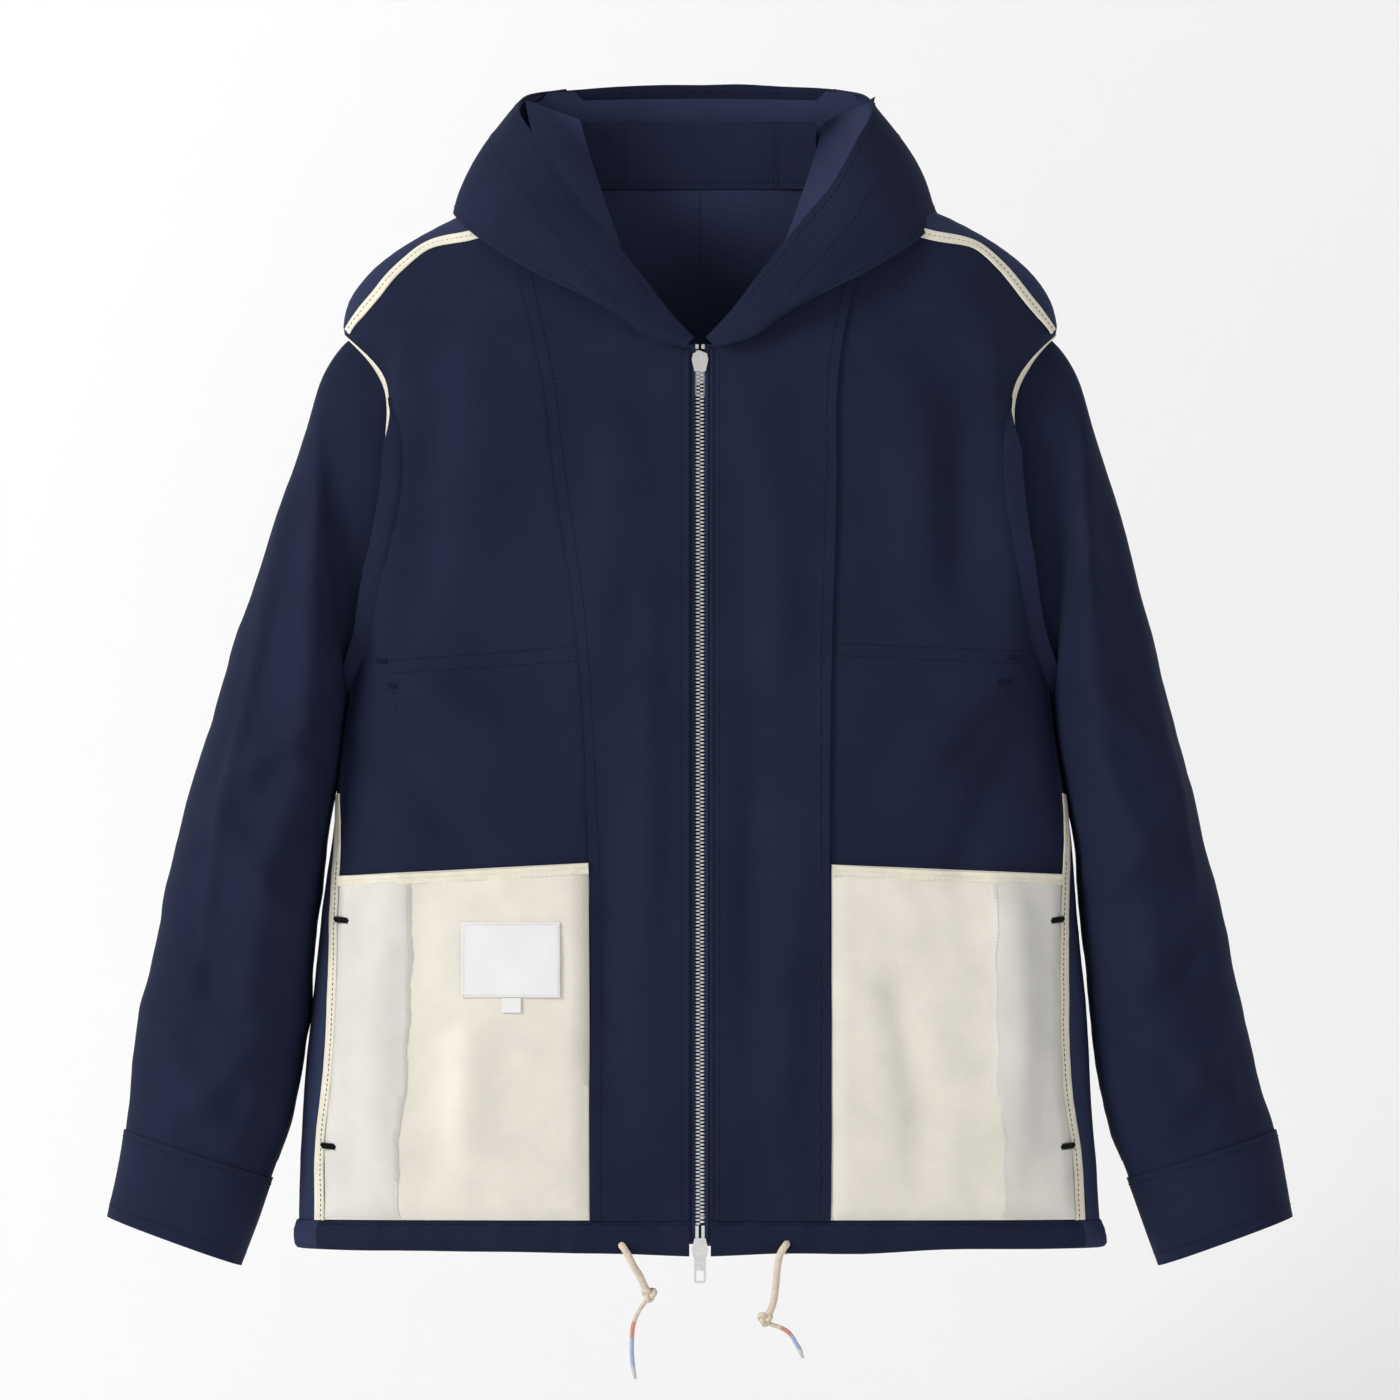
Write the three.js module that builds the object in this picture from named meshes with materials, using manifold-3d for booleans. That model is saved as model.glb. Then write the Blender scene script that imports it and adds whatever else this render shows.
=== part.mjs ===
// Foul weather jacket, hanging closed, in millimetres. +Z is up, the front faces -Y, and the wearer's left is +X.
// The origin is the middle of the neck opening, where a hanger comes out of it.
import * as THREE from "three";
import { mergeVertices } from "three/addons/utils/BufferGeometryUtils.js";
import Module from "manifold-3d";

const wasm = await Module();
wasm.setup();

// Driving dimensions
const BODY_LENGTH = 744; // neck level to the lower edge of the hem
const HEM_HALF_WIDTH = 288;
const ARMPIT_HALF_WIDTH = 252;
const CHEST_HALF_WIDTH = 224; // narrowest, between the armholes
const SHOULDER_HALF_WIDTH = 256;
const HALF_DEPTH = 54;
const HEM_HALF_DEPTH = 50;
const NECK_HALF_WIDTH = 100;
const NECK_HALF_DEPTH = 40;
const NECK_RISE = 30; // shoulder ridge beside the neck
const NECK_DROP = 92; // front of the neck
const NECK_BACK_Z = 26; // seam at the back of the neck
const SHOULDER_DROP = 79;
const ARMHOLE_DEPTH = 247;
const ARMHOLE_HALF_DEPTH = 32;
const SLEEVE_DROP = 735; // middle of the cuff's end
const SLEEVE_END_X = 380;
const CUFF_LENGTH = 64;
const CUFF_WIDTH = 98;
const SLEEVE_Y = 6; // middle of the armhole and the sleeve, front to back
const HEM_HEIGHT = 25;
const POCKET_HEIGHT = 253;
const POCKET_HOLLOW = 3;
const CLOTH = 1.4;
const TAPE = 1; // binding thickness
const BINDING_WIDTH = 8;
const GAP = 0.4; // between pieces that touch on the real jacket
const CORD_DIAMETER = 5.2;
const TAIL_DIAMETER = 3.2;
const CHAIN_WIDTH = 6.6;
const CHAIN_SPLIT = 2; // between the two rows of teeth
const TEETH_DEPTH = 2.6;

// Heights that follow
const HEM_Z = -BODY_LENGTH;
const HEM_SEAM_Z = HEM_Z + HEM_HEIGHT;
const SHOULDER_Z = -SHOULDER_DROP;
const ARMHOLE_TOP_Z = SHOULDER_Z - 9;
const ARMPIT_Z = ARMHOLE_TOP_Z - ARMHOLE_DEPTH;
const TIP_DROP = 61; // the shoulder tip stands out over this height
const POCKET_TOP_Z = HEM_SEAM_Z + POCKET_HEIGHT;

const mix = (a, b, share) => a + (b - a) * share;
const clamp = (value) => Math.min(1, Math.max(0, value));
const signedPower = (value, power) => Math.sign(value) * Math.abs(value) ** power;

// A value read off a list of [at, value] pairs, straight between them.
function along(pairs, at) {
  let i = 1;
  while (i < pairs.length - 1 && pairs[i][0] < at) i++;
  const [a, va] = pairs[i - 1];
  const [b, vb] = pairs[i];
  return mix(va, vb, clamp((at - a) / (b - a)));
}

// ---- solids

function solidOf(geometry) {
  const bare = geometry.clone();
  for (const name of ["normal", "uv"]) bare.deleteAttribute(name);
  const merged = mergeVertices(bare, 1e-3);
  const triVerts = new Uint32Array(merged.index.array);
  const vertProperties = merged.attributes.position.array;
  const made = new wasm.Manifold(new wasm.Mesh({ numProp: 3, vertProperties, triVerts }));
  if (made.volume() >= 0) return made;
  for (let i = 0; i < triVerts.length; i += 3) {
    [triVerts[i + 1], triVerts[i + 2]] = [triVerts[i + 2], triVerts[i + 1]];
  }
  return new wasm.Manifold(new wasm.Mesh({ numProp: 3, vertProperties, triVerts }));
}

function geometryOf(solid) {
  const { vertProperties, triVerts, numProp, numVert } = solid.getMesh();
  const positions = new Float32Array(numVert * 3);
  for (let i = 0; i < numVert; i++) {
    positions.set(vertProperties.subarray(i * numProp, i * numProp + 3), i * 3);
  }
  const geometry = new THREE.BufferGeometry();
  geometry.setAttribute("position", new THREE.BufferAttribute(positions, 3));
  geometry.setIndex(new THREE.BufferAttribute(triVerts, 1));
  geometry.computeVertexNormals();
  return geometry;
}

function fromGrid(positions, triangles) {
  const geometry = new THREE.BufferGeometry();
  geometry.setAttribute("position", new THREE.Float32BufferAttribute(positions, 3));
  geometry.setIndex(triangles);
  return solidOf(geometry);
}

// A closed solid through rings of points, all with as many points, with a fan at each end.
function loft(rings) {
  const count = rings[0].length;
  const positions = rings.flat().flatMap((p) => [p.x, p.y, p.z]);
  const triangles = [];
  for (let r = 0; r < rings.length - 1; r++) {
    for (let i = 0; i < count; i++) {
      const a = r * count + i;
      const b = r * count + ((i + 1) % count);
      triangles.push(a, b, b + count, a, b + count, a + count);
    }
  }
  for (const [ring, first, turned] of [
    [rings[0], 0, true],
    [rings.at(-1), (rings.length - 1) * count, false],
  ]) {
    const middle = ring.reduce((sum, p) => sum.add(p), new THREE.Vector3()).divideScalar(count);
    const centre = positions.length / 3;
    positions.push(middle.x, middle.y, middle.z);
    for (let i = 0; i < count; i++) {
      const a = first + i;
      const b = first + ((i + 1) % count);
      triangles.push(centre, turned ? b : a, turned ? a : b);
    }
  }
  return fromGrid(positions, triangles);
}

// A closed sheet of cloth over point(u, v), between two heights along its normal.
function sheet(point, across, up, low, high) {
  const step = 1e-3;
  const positions = [];
  const normalAt = (u, v) => {
    const du = point(Math.min(1, u + step), v).sub(point(Math.max(0, u - step), v));
    const dv = point(u, Math.min(1, v + step)).sub(point(u, Math.max(0, v - step)));
    return du.cross(dv).normalize();
  };
  for (const lift of [low, high]) {
    for (let j = 0; j <= up; j++) {
      for (let i = 0; i <= across; i++) {
        const [u, v] = [i / across, j / up];
        const p = point(u, v).addScaledVector(normalAt(u, v), lift);
        positions.push(p.x, p.y, p.z);
      }
    }
  }
  const row = across + 1;
  const layer = row * (up + 1);
  const triangles = [];
  const quad = (a, b, c, d) => triangles.push(a, b, c, a, c, d);
  for (let j = 0; j < up; j++) {
    for (let i = 0; i < across; i++) {
      const a = j * row + i;
      quad(a, a + row, a + row + 1, a + 1);
      quad(a + layer, a + layer + 1, a + layer + row + 1, a + layer + row);
    }
  }
  for (let i = 0; i < across; i++) {
    const top = up * row + i;
    quad(i, i + 1, i + 1 + layer, i + layer);
    quad(top + 1, top, top + layer, top + 1 + layer);
  }
  for (let j = 0; j < up; j++) {
    const left = j * row;
    const right = j * row + across;
    quad(left + row, left, left + layer, left + row + layer);
    quad(right, right + row, right + row + layer, right + layer);
  }
  return fromGrid(positions, triangles);
}

// A prism of an outline of [x, z] points, from the front at y = near to the back at y = far.
function prism(outline, near = -200, far = 0) {
  const shape = new THREE.Shape(outline.map(([x, z]) => new THREE.Vector2(x, z)));
  const geometry = new THREE.ExtrudeGeometry(shape, { depth: far - near, bevelEnabled: false });
  return solidOf(geometry.rotateX(Math.PI / 2).translate(0, far, 0));
}

// The same along X, of an outline of [y, z] points.
function sidePrism(outline, near, far) {
  const shape = new THREE.Shape(outline.map(([y, z]) => new THREE.Vector2(y, z)));
  const geometry = new THREE.ExtrudeGeometry(shape, { depth: far - near, bevelEnabled: false });
  geometry.applyMatrix4(
    new THREE.Matrix4().makeBasis(
      new THREE.Vector3(0, 1, 0),
      new THREE.Vector3(0, 0, 1),
      new THREE.Vector3(1, 0, 0),
    ),
  );
  return solidOf(geometry.translate(near, 0, 0));
}

const block = (x0, x1, y0, y1, z0, z1) => {
  const geometry = new THREE.BoxGeometry(x1 - x0, y1 - y0, z1 - z0);
  return solidOf(geometry.translate((x0 + x1) / 2, (y0 + y1) / 2, (z0 + z1) / 2));
};

const flip = (outline) => outline.map(([x, z]) => [-x, z]);
const mirror = (solid, side) => (side > 0 ? solid : solid.mirror([1, 0, 0]));

// ---- the body's form

function halfWidth(z) {
  if (z >= SHOULDER_Z) {
    const rise = clamp((z - SHOULDER_Z) / (NECK_RISE - SHOULDER_Z));
    return mix(SHOULDER_HALF_WIDTH, NECK_HALF_WIDTH, rise ** 2.2);
  }
  if (z >= ARMPIT_Z) {
    const tip = (1 - clamp((SHOULDER_Z - z) / TIP_DROP)) ** 2.2;
    const down = clamp((SHOULDER_Z - TIP_DROP - z) / (SHOULDER_Z - TIP_DROP - ARMPIT_Z));
    const side = mix(CHEST_HALF_WIDTH, ARMPIT_HALF_WIDTH, down);
    return mix(side, SHOULDER_HALF_WIDTH, tip);
  }
  const down = (ARMPIT_Z - z) / (ARMPIT_Z - HEM_Z);
  return mix(ARMPIT_HALF_WIDTH, HEM_HALF_WIDTH, 1 - (1 - clamp(down)) ** 1.6);
}

function halfDepth(z) {
  if (z >= SHOULDER_Z) {
    return mix(HALF_DEPTH - 1, NECK_HALF_DEPTH, clamp((z - SHOULDER_Z) / (NECK_RISE - SHOULDER_Z)));
  }
  if (z >= ARMPIT_Z) return mix(HALF_DEPTH, HALF_DEPTH - 1, (z - ARMPIT_Z) / (SHOULDER_Z - ARMPIT_Z));
  return mix(HALF_DEPTH, HEM_HALF_DEPTH, (ARMPIT_Z - z) / (ARMPIT_Z - HEM_Z));
}

const roundness = (z) => (z > SHOULDER_Z ? 2.6 : 3.3);

// A point of the body's surface, lifted off it, at an angle from the wearer's left towards the back.
function bodyPoint(angle, z, lift = 0) {
  const power = 2 / roundness(z);
  return new THREE.Vector3(
    (halfWidth(z) + lift) * signedPower(Math.cos(angle), power),
    (halfDepth(z) + lift) * signedPower(Math.sin(angle), power),
    z,
  );
}

// Where the body's front is at a distance x from the middle.
function frontY(x, z, lift = 0) {
  const power = roundness(z);
  const share = Math.min(1, Math.abs(x) / (halfWidth(z) + lift));
  return -(halfDepth(z) + lift) * (1 - share ** power) ** (1 / power);
}

const AROUND = 40;
const CHEST_Z = SHOULDER_Z - TIP_DROP;
const LEVELS = [
  HEM_Z,
  ...[0, 0.25, 0.5, 0.75].map((share) => mix(HEM_SEAM_Z, ARMPIT_Z, share)),
  ...[0, 0.5].map((share) => mix(ARMPIT_Z, CHEST_Z, share)),
  ...[0, 0.4, 0.75].map((share) => mix(CHEST_Z, SHOULDER_Z, share)),
  ...[0, 0.2, 0.4, 0.55, 0.74, 1].map((share) => mix(SHOULDER_Z, NECK_RISE, share)),
];

function bodySolid(lift, levels = LEVELS) {
  const ring = (z) =>
    Array.from({ length: AROUND }, (_, i) => bodyPoint((i / AROUND) * 2 * Math.PI, z, lift));
  return loft(levels.map(ring));
}

const bodyLayer = (low, high) => {
  const inner = bodySolid(low, [HEM_Z - 20, ...LEVELS, NECK_RISE + 20]);
  return bodySolid(high).subtract(inner);
};

// ---- outlines on the front, for the wearer's left; [x, z]

const sideSeam = [
  [273, HEM_SEAM_Z - 40],
  [273, HEM_SEAM_Z + 10],
  [271, HEM_SEAM_Z + 50],
  [265, HEM_SEAM_Z + 95],
  [262, HEM_SEAM_Z + 180],
  [262, HEM_SEAM_Z + 257],
  [256, HEM_SEAM_Z + 323],
  [ARMPIT_HALF_WIDTH - 2, ARMPIT_Z],
  [ARMPIT_HALF_WIDTH - 3, ARMPIT_Z + 22],
];
const shoulderSeam = [
  [252, -78],
  [236, -57],
  [213, -30],
  [197, -17],
  [164, -9],
  [92, 12],
];
const neckFront = [
  [102, 45],
  [97, 15],
  [76, -35],
  [45, -68],
  [12, -NECK_DROP],
];
const neckBack = [
  [102, 45],
  [98, NECK_BACK_Z],
];
const FRONT_EDGE = CHAIN_WIDTH / 2 + 4.5; // the fronts stop this far from the middle
const PLACKET_TOP_Z = -10;
const wearersRightPlacket = [
  [78, HEM_SEAM_Z],
  [80, POCKET_TOP_Z + 10],
  [88.6, -286],
  [103, -186],
  [110, -116],
  [119, -75],
  [129, -30],
  [131, PLACKET_TOP_Z],
];
const wearersLeftPlacket = [
  [93, HEM_SEAM_Z],
  [93.6, -301],
  [97, -186],
  [98, -113],
  [103, -74],
  [111, -42],
  [114, PLACKET_TOP_Z],
];
const plackets = { left: wearersLeftPlacket, right: wearersRightPlacket };
const seamAt = (z) => edgeAt(sideSeam, z);

// The x of an outline, given as [x, z] points going up, at a height.
function edgeAt(outline, z) {
  return along(
    outline.map(([x, height]) => [height, x]),
    z,
  );
}

const armholeOutline = Array.from({ length: 24 }, (_, i) => {
  const turn = (i / 24) * 2 * Math.PI;
  const middle = (ARMHOLE_TOP_Z + ARMPIT_Z) / 2;
  return [
    SLEEVE_Y + ARMHOLE_HALF_DEPTH * signedPower(Math.cos(turn), 0.8),
    middle + (ARMHOLE_DEPTH / 2) * signedPower(Math.sin(turn), 0.8),
  ];
});
const grownArmhole = (by) => {
  const middle = (ARMHOLE_TOP_Z + ARMPIT_Z) / 2;
  return armholeOutline.map(([y, z]) => [
    SLEEVE_Y + (y - SLEEVE_Y) * (1 + by / ARMHOLE_HALF_DEPTH),
    middle + (z - middle) * (1 + (2 * by) / ARMHOLE_DEPTH),
  ]);
};

// A line of [x, z] points moved to its left by a distance.
function movedLine(line, distance) {
  return line.map(([x, z], i) => {
    const [ax, az] = line[Math.max(0, i - 1)];
    const [bx, bz] = line[Math.min(line.length - 1, i + 1)];
    const length = Math.hypot(bx - ax, bz - az);
    return [x - ((bz - az) / length) * distance, z + ((bx - ax) / length) * distance];
  });
}

// A strip that reaches half its width to either side of a line.
const strip = (line, half) => [...movedLine(line, -half), ...movedLine(line, half).reverse()];

// ---- materials

const cloth = (colour, roughness = 0.9) =>
  new THREE.MeshStandardMaterial({ color: colour, roughness, metalness: 0 });
const metal = () => new THREE.MeshStandardMaterial({ color: 0xc9cacc, roughness: 0.32, metalness: 1 });
const navy = () => cloth(0x262a3f);
const cream = () => cloth(0xe2dccd);
const grey = () => cloth(0xcbc8c1);
const bindingTape = () => cloth(0xe9e4d4);
const blackThread = () => cloth(0x141414);
const whiteCloth = () => cloth(0xefefec, 0.8);
const braid = () => cloth(0xdbd0bf);

const jacket = new THREE.Group();
function add(name, solid, material) {
  const mesh = new THREE.Mesh(geometryOf(solid), material);
  mesh.name = name;
  jacket.add(mesh);
}

const SIDES = [
  ["left", 1],
  ["right", -1],
];

// ---- body panels

const frontRegion = (inset) => [
  [FRONT_EDGE, HEM_Z - 30],
  ...movedLine(sideSeam, inset),
  [300, ARMPIT_Z + 22 + inset],
  [300, shoulderSeam[0][1] - inset],
  ...movedLine(shoulderSeam, inset),
  [60, 60],
  [FRONT_EDGE, 60],
];

const opened = (solid) => {
  let cut = solid
    .subtract(prism([...neckFront, ...flip(neckFront).reverse()], -200, 0))
    .subtract(prism([...neckBack, ...flip(neckBack).reverse()], -1, 200));
  for (const [, side] of SIDES) {
    cut = cut.subtract(mirror(sidePrism(armholeOutline, 170, 400), side));
  }
  return cut;
};

const belowHemSeam = block(-400, 400, -200, 200, HEM_Z - 30, HEM_SEAM_Z + GAP);
const bodyCloth = opened(bodyLayer(0, CLOTH)).subtract(belowHemSeam);

function panels() {
  let back = bodyCloth;
  for (const [name, side] of SIDES) {
    const outline = frontRegion(GAP / 2);
    const wider = frontRegion(-GAP / 2);
    back = back.subtract(mirror(prism(wider, -200, GAP), side));
    add(`front_panel_${name}`, bodyCloth.intersect(mirror(prism(outline), side)), navy());
  }
  back = back.subtract(block(-FRONT_EDGE - 1, FRONT_EDGE + 1, -200, 0, HEM_Z - 30, 60));
  add("back_panel", back, navy());
}
panels();

// Each layer on the front lies this far off the body's form.
const PLACKET_LOW = CLOTH + GAP;
const PLACKET_HIGH = PLACKET_LOW + CLOTH;
const placketLayer = opened(bodyLayer(PLACKET_LOW, PLACKET_HIGH));

function placketPieces() {
  for (const [name, side] of SIDES) {
    const edge = plackets[name];
    const foot = HEM_SEAM_Z + GAP;
    const outline = [
      [FRONT_EDGE, foot],
      ...edge.map(([x, z]) => [x, Math.max(z, foot)]),
      [FRONT_EDGE, PLACKET_TOP_Z],
    ];
    add(`placket_${name}`, placketLayer.intersect(mirror(prism(outline), side)), navy());
  }
}
placketPieces();

// ---- hem: a tunnel that the drawcord runs in

const HEM_OUT = 5.4;
const HEM_IN = -4.2;
const TUNNEL_WALL = 1.2;
const CORD_LIFT = (HEM_OUT + HEM_IN) / 2;
const CORD_Y = -HEM_HALF_DEPTH + 0.2;
const CORD_Z = HEM_Z + HEM_HEIGHT / 2 + 1;
const CORD_EXITS = { left: 61, right: 53 };
const EXIT_HALF = CORD_DIAMETER / 2 + 2;

function hemBand(low, high, bottom, top) {
  const levels = [bottom, top];
  return bodySolid(high, levels).subtract(bodySolid(low, [bottom - 5, ...levels, top + 5]));
}

function hemPieces() {
  let hem = hemBand(HEM_IN, HEM_OUT, HEM_Z, HEM_SEAM_Z - GAP / 2).subtract(
    hemBand(HEM_IN + TUNNEL_WALL, HEM_OUT - TUNNEL_WALL, HEM_Z + 2, HEM_SEAM_Z - 2),
  );
  hem = hem.subtract(block(-FRONT_EDGE - 1, FRONT_EDGE + 1, -200, 0, HEM_Z - 10, HEM_SEAM_Z + 10));
  for (const [name, side] of SIDES) {
    const x = side * CORD_EXITS[name];
    const [near, far] = [CORD_Y - EXIT_HALF + 0.4, CORD_Y + EXIT_HALF - 0.4];
    hem = hem.subtract(block(x - EXIT_HALF, x + EXIT_HALF, near, far, HEM_Z - 5, HEM_Z + 10));
  }
  const seam = HEM_HALF_WIDTH - 15;
  let back = hem;
  for (const [name, side] of SIDES) {
    const region = (edge) => [
      [0, HEM_Z - 10],
      [edge, HEM_Z - 10],
      [edge, HEM_SEAM_Z + 10],
      [0, HEM_SEAM_Z + 10],
    ];
    back = back.subtract(mirror(prism(region(seam + GAP / 2), -200, -1), side));
    add(`hem_front_${name}`, hem.intersect(mirror(prism(region(seam - GAP / 2), -200, -1), side)), navy());
  }
  add("hem_back", back, navy());
}
hemPieces();

// ---- bindings

const BINDING_LOW = PLACKET_LOW;
const BINDING_HIGH = BINDING_LOW + TAPE;
const bindingLayer = opened(bodyLayer(BINDING_LOW, BINDING_HIGH));

function bindings() {
  for (const [name, side] of SIDES) {
    const half = BINDING_WIDTH / 2;
    const shoulder = strip(shoulderSeam, half);
    const placketEnd = edgeAt(plackets[name], PLACKET_TOP_Z) + half;
    const besidePlacket = mirror(block(0, placketEnd, -200, 0, -200, 60), side);
    const onShoulder = bindingLayer.intersect(mirror(prism(shoulder), side)).subtract(besidePlacket);
    add(`shoulder_binding_${name}`, onShoulder, bindingTape());

    const seam = strip(sideSeam, half);
    const belowArm = block(-400, 400, -200, 0, HEM_SEAM_Z + GAP, ARMPIT_Z - BINDING_WIDTH - 6);
    const onSide = bindingLayer.intersect(mirror(prism(seam), side)).intersect(belowArm);
    add(`side_binding_${name}`, onSide, bindingTape());

    const ring = sidePrism(grownArmhole(BINDING_WIDTH + CLOTH + GAP), 170, 400).subtract(
      sidePrism(grownArmhole(CLOTH + GAP), 160, 410),
    );
    const clearOfShoulder = prism(strip(shoulderSeam, half + GAP));
    const onArmhole = bindingLayer.intersect(mirror(ring, side)).subtract(mirror(clearOfShoulder, side));
    const largest = onArmhole.decompose().sort((a, b) => b.volume() - a.volume())[0];
    add(`armhole_binding_${name}`, largest, bindingTape());
  }
}
bindings();

// ---- pockets

const BAG_HIGH = PLACKET_LOW + POCKET_HOLLOW + TAPE;
const BAG_LOW = BAG_HIGH - TAPE;
const ON_BAG_LOW = BAG_HIGH + GAP;
const ON_BAG_HIGH = ON_BAG_LOW + 0.8;
const FACING_WIDTH = 54;
const MOUTH_TOP_Z = HEM_SEAM_Z + 216;
const MOUTH_BOTTOM_Z = HEM_SEAM_Z + 53;
const POCKET_RIM = 2;

const POCKET_BENDS = [HEM_SEAM_Z + 50, HEM_SEAM_Z + 95, HEM_SEAM_Z + 180];

function pocketOutline(name, inset, bottom = HEM_SEAM_Z + GAP, top = POCKET_TOP_Z) {
  const bends = POCKET_BENDS.filter((z) => z > bottom + inset && z < top - inset);
  const heights = [bottom + inset, ...bends, top - inset];
  const outer = heights.map((z) => [seamAt(z) - BINDING_WIDTH / 2 - GAP - inset, z]);
  const inner = heights.map((z) => [edgeAt(plackets[name], z) + GAP + inset, z]).reverse();
  return [...outer, ...inner];
}

function pockets() {
  const outerSheet = bodyLayer(PLACKET_LOW, BAG_HIGH);
  const hollow = bodyLayer(PLACKET_LOW - 1, BAG_LOW);
  const onBag = bodyLayer(ON_BAG_LOW, ON_BAG_HIGH);
  for (const [name, side] of SIDES) {
    const mouth = block(230, 300, -200, 0, MOUTH_BOTTOM_Z, MOUTH_TOP_Z);
    const inside = hollow.intersect(mirror(prism(pocketOutline(name, POCKET_RIM)).add(mouth), side));
    const bag = outerSheet.intersect(mirror(prism(pocketOutline(name, 0)), side)).subtract(inside);
    add(`pocket_bag_${name}`, bag, cream());

    const binding = pocketOutline(name, 0.5, POCKET_TOP_Z - BINDING_WIDTH);
    add(`pocket_binding_${name}`, onBag.intersect(mirror(prism(binding), side)), bindingTape());

    const facingTop = POCKET_TOP_Z - BINDING_WIDTH - GAP;
    const heights = [HEM_SEAM_Z + 2, ...POCKET_BENDS, facingTop];
    const edge = heights.map((z) => [seamAt(z) - BINDING_WIDTH / 2 - GAP - 0.5, z]);
    const facing = [...edge, ...edge.map(([x, z]) => [x - FACING_WIDTH, z]).reverse()];
    let facingStrip = onBag.intersect(mirror(prism(facing), side));
    for (const z of [MOUTH_TOP_Z, MOUTH_BOTTOM_Z]) {
      const middle = seamAt(z) - 9;
      const slot = block(middle - 7, middle + 7, -200, 0, z - 1.6, z + 1.6);
      facingStrip = facingStrip.subtract(mirror(slot, side));
      const end = z === MOUTH_TOP_Z ? "upper" : "lower";
      const tack = block(middle - 5.5, middle + 3, -200, 0, z - 1.1, z + 1.1);
      add(`bar_tack_${end}_${name}`, onBag.intersect(mirror(tack, side)), blackThread());
    }
    add(`pocket_facing_${name}`, facingStrip, grey());
  }
}
pockets();

// ---- label and size tag, both blank

const LABEL = { x0: -172, x1: -101, z0: -558, z1: -504 };
const LABEL_THICK = 0.8;
const TAG = { x0: -143, x1: -129, z0: -569, z1: LABEL.z0 - GAP };

function labels() {
  const z = (LABEL.z0 + LABEL.z1) / 2;
  const middle = (LABEL.x0 + LABEL.x1) / 2;
  const slope = (frontY(LABEL.x0, z) - frontY(LABEL.x1, z)) / (LABEL.x0 - LABEL.x1);
  const y = frontY(middle, LABEL.z1, BAG_HIGH) - GAP - LABEL_THICK / 2;
  for (const [name, box, material] of [
    ["label", LABEL, whiteCloth()],
    ["size_tag", TAG, whiteCloth()],
  ]) {
    const geometry = new THREE.BoxGeometry(box.x1 - box.x0, LABEL_THICK, box.z1 - box.z0);
    const placed = new THREE.Matrix4()
      .makeTranslation(middle, y, 0)
      .multiply(new THREE.Matrix4().makeRotationZ(Math.atan(slope)))
      .multiply(
        new THREE.Matrix4().makeTranslation((box.x0 + box.x1) / 2 - middle, 0, (box.z0 + box.z1) / 2),
      );
    add(name, solidOf(geometry.applyMatrix4(placed)), material);
  }
}
labels();

// ---- zip

const ZIP_TOP_Z = -NECK_DROP + 4;
const ZIP_BOTTOM_Z = HEM_Z + 10;
const TAPE_WIDTH = 12;
const TAPE_BEHIND = 2.2; // the tape steps back behind the front panel, where it is sewn

// The zip follows the body's front, which leans a little between the chest and the hem.
const zipY = (z) => frontY(0, z, CLOTH / 2);
const zipShift = (z) => [0, zipY(z), z];
const zipLean = Math.atan2(zipY(ZIP_TOP_Z) - zipY(ZIP_BOTTOM_Z), ZIP_TOP_Z - ZIP_BOTTOM_Z);

// A solid made upright at y = 0 is laid on the leaning line of the chain, at its foot.
function onChain(solid) {
  const foot = zipShift(ZIP_BOTTOM_Z);
  return solid
    .translate([0, 0, -ZIP_BOTTOM_Z])
    .rotate([(zipLean * -180) / Math.PI, 0, 0])
    .translate(foot);
}

const SLIDER_HEIGHT = 15;
const SLIDER_WIDTH = 12;
const PLATE = 1.1;
const SLIDER_GAP = 0.35;
const STOP_HEIGHT = 3.2;
const teethTop = ZIP_TOP_Z - STOP_HEIGHT - GAP;
const teethBottom = HEM_SEAM_Z - 3;

function zipRows() {
  for (const [name, side] of SIDES) {
    const inner = CHAIN_SPLIT / 2;
    const outer = CHAIN_WIDTH / 2;
    const teeth = block(inner, outer, -TEETH_DEPTH / 2, TEETH_DEPTH / 2, teethBottom, teethTop);
    add(`zip_teeth_${name}`, onChain(mirror(teeth, side)), metal());
    const fold = FRONT_EDGE - GAP;
    const half = TAPE / 2 - 0.1;
    const sewnAt = TAPE_BEHIND;
    const [tapeFoot, tapeHead] = [HEM_SEAM_Z + 2, ZIP_TOP_Z - 8];
    const tape = block(outer + GAP, fold, -half, half, ZIP_BOTTOM_Z, ZIP_TOP_Z)
      .add(block(fold - TAPE, fold, -half, sewnAt + TAPE, tapeFoot, tapeHead))
      .add(block(fold - TAPE, outer + TAPE_WIDTH, sewnAt, sewnAt + TAPE, tapeFoot, tapeHead));
    add(`zip_tape_${name}`, onChain(mirror(tape, side)), navy());
    const stop = block(inner, outer, -1.4, 1.4, ZIP_TOP_Z - STOP_HEIGHT, ZIP_TOP_Z);
    add(`zip_top_stop_${name}`, onChain(mirror(stop, side)), metal());
    const pin = block(inner, outer, -1.2, 1.2, ZIP_BOTTOM_Z - 6, teethBottom - GAP);
    add(side > 0 ? "zip_insertion_pin" : "zip_retaining_pin", onChain(mirror(pin, side)), metal());
  }
}
zipRows();

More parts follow.
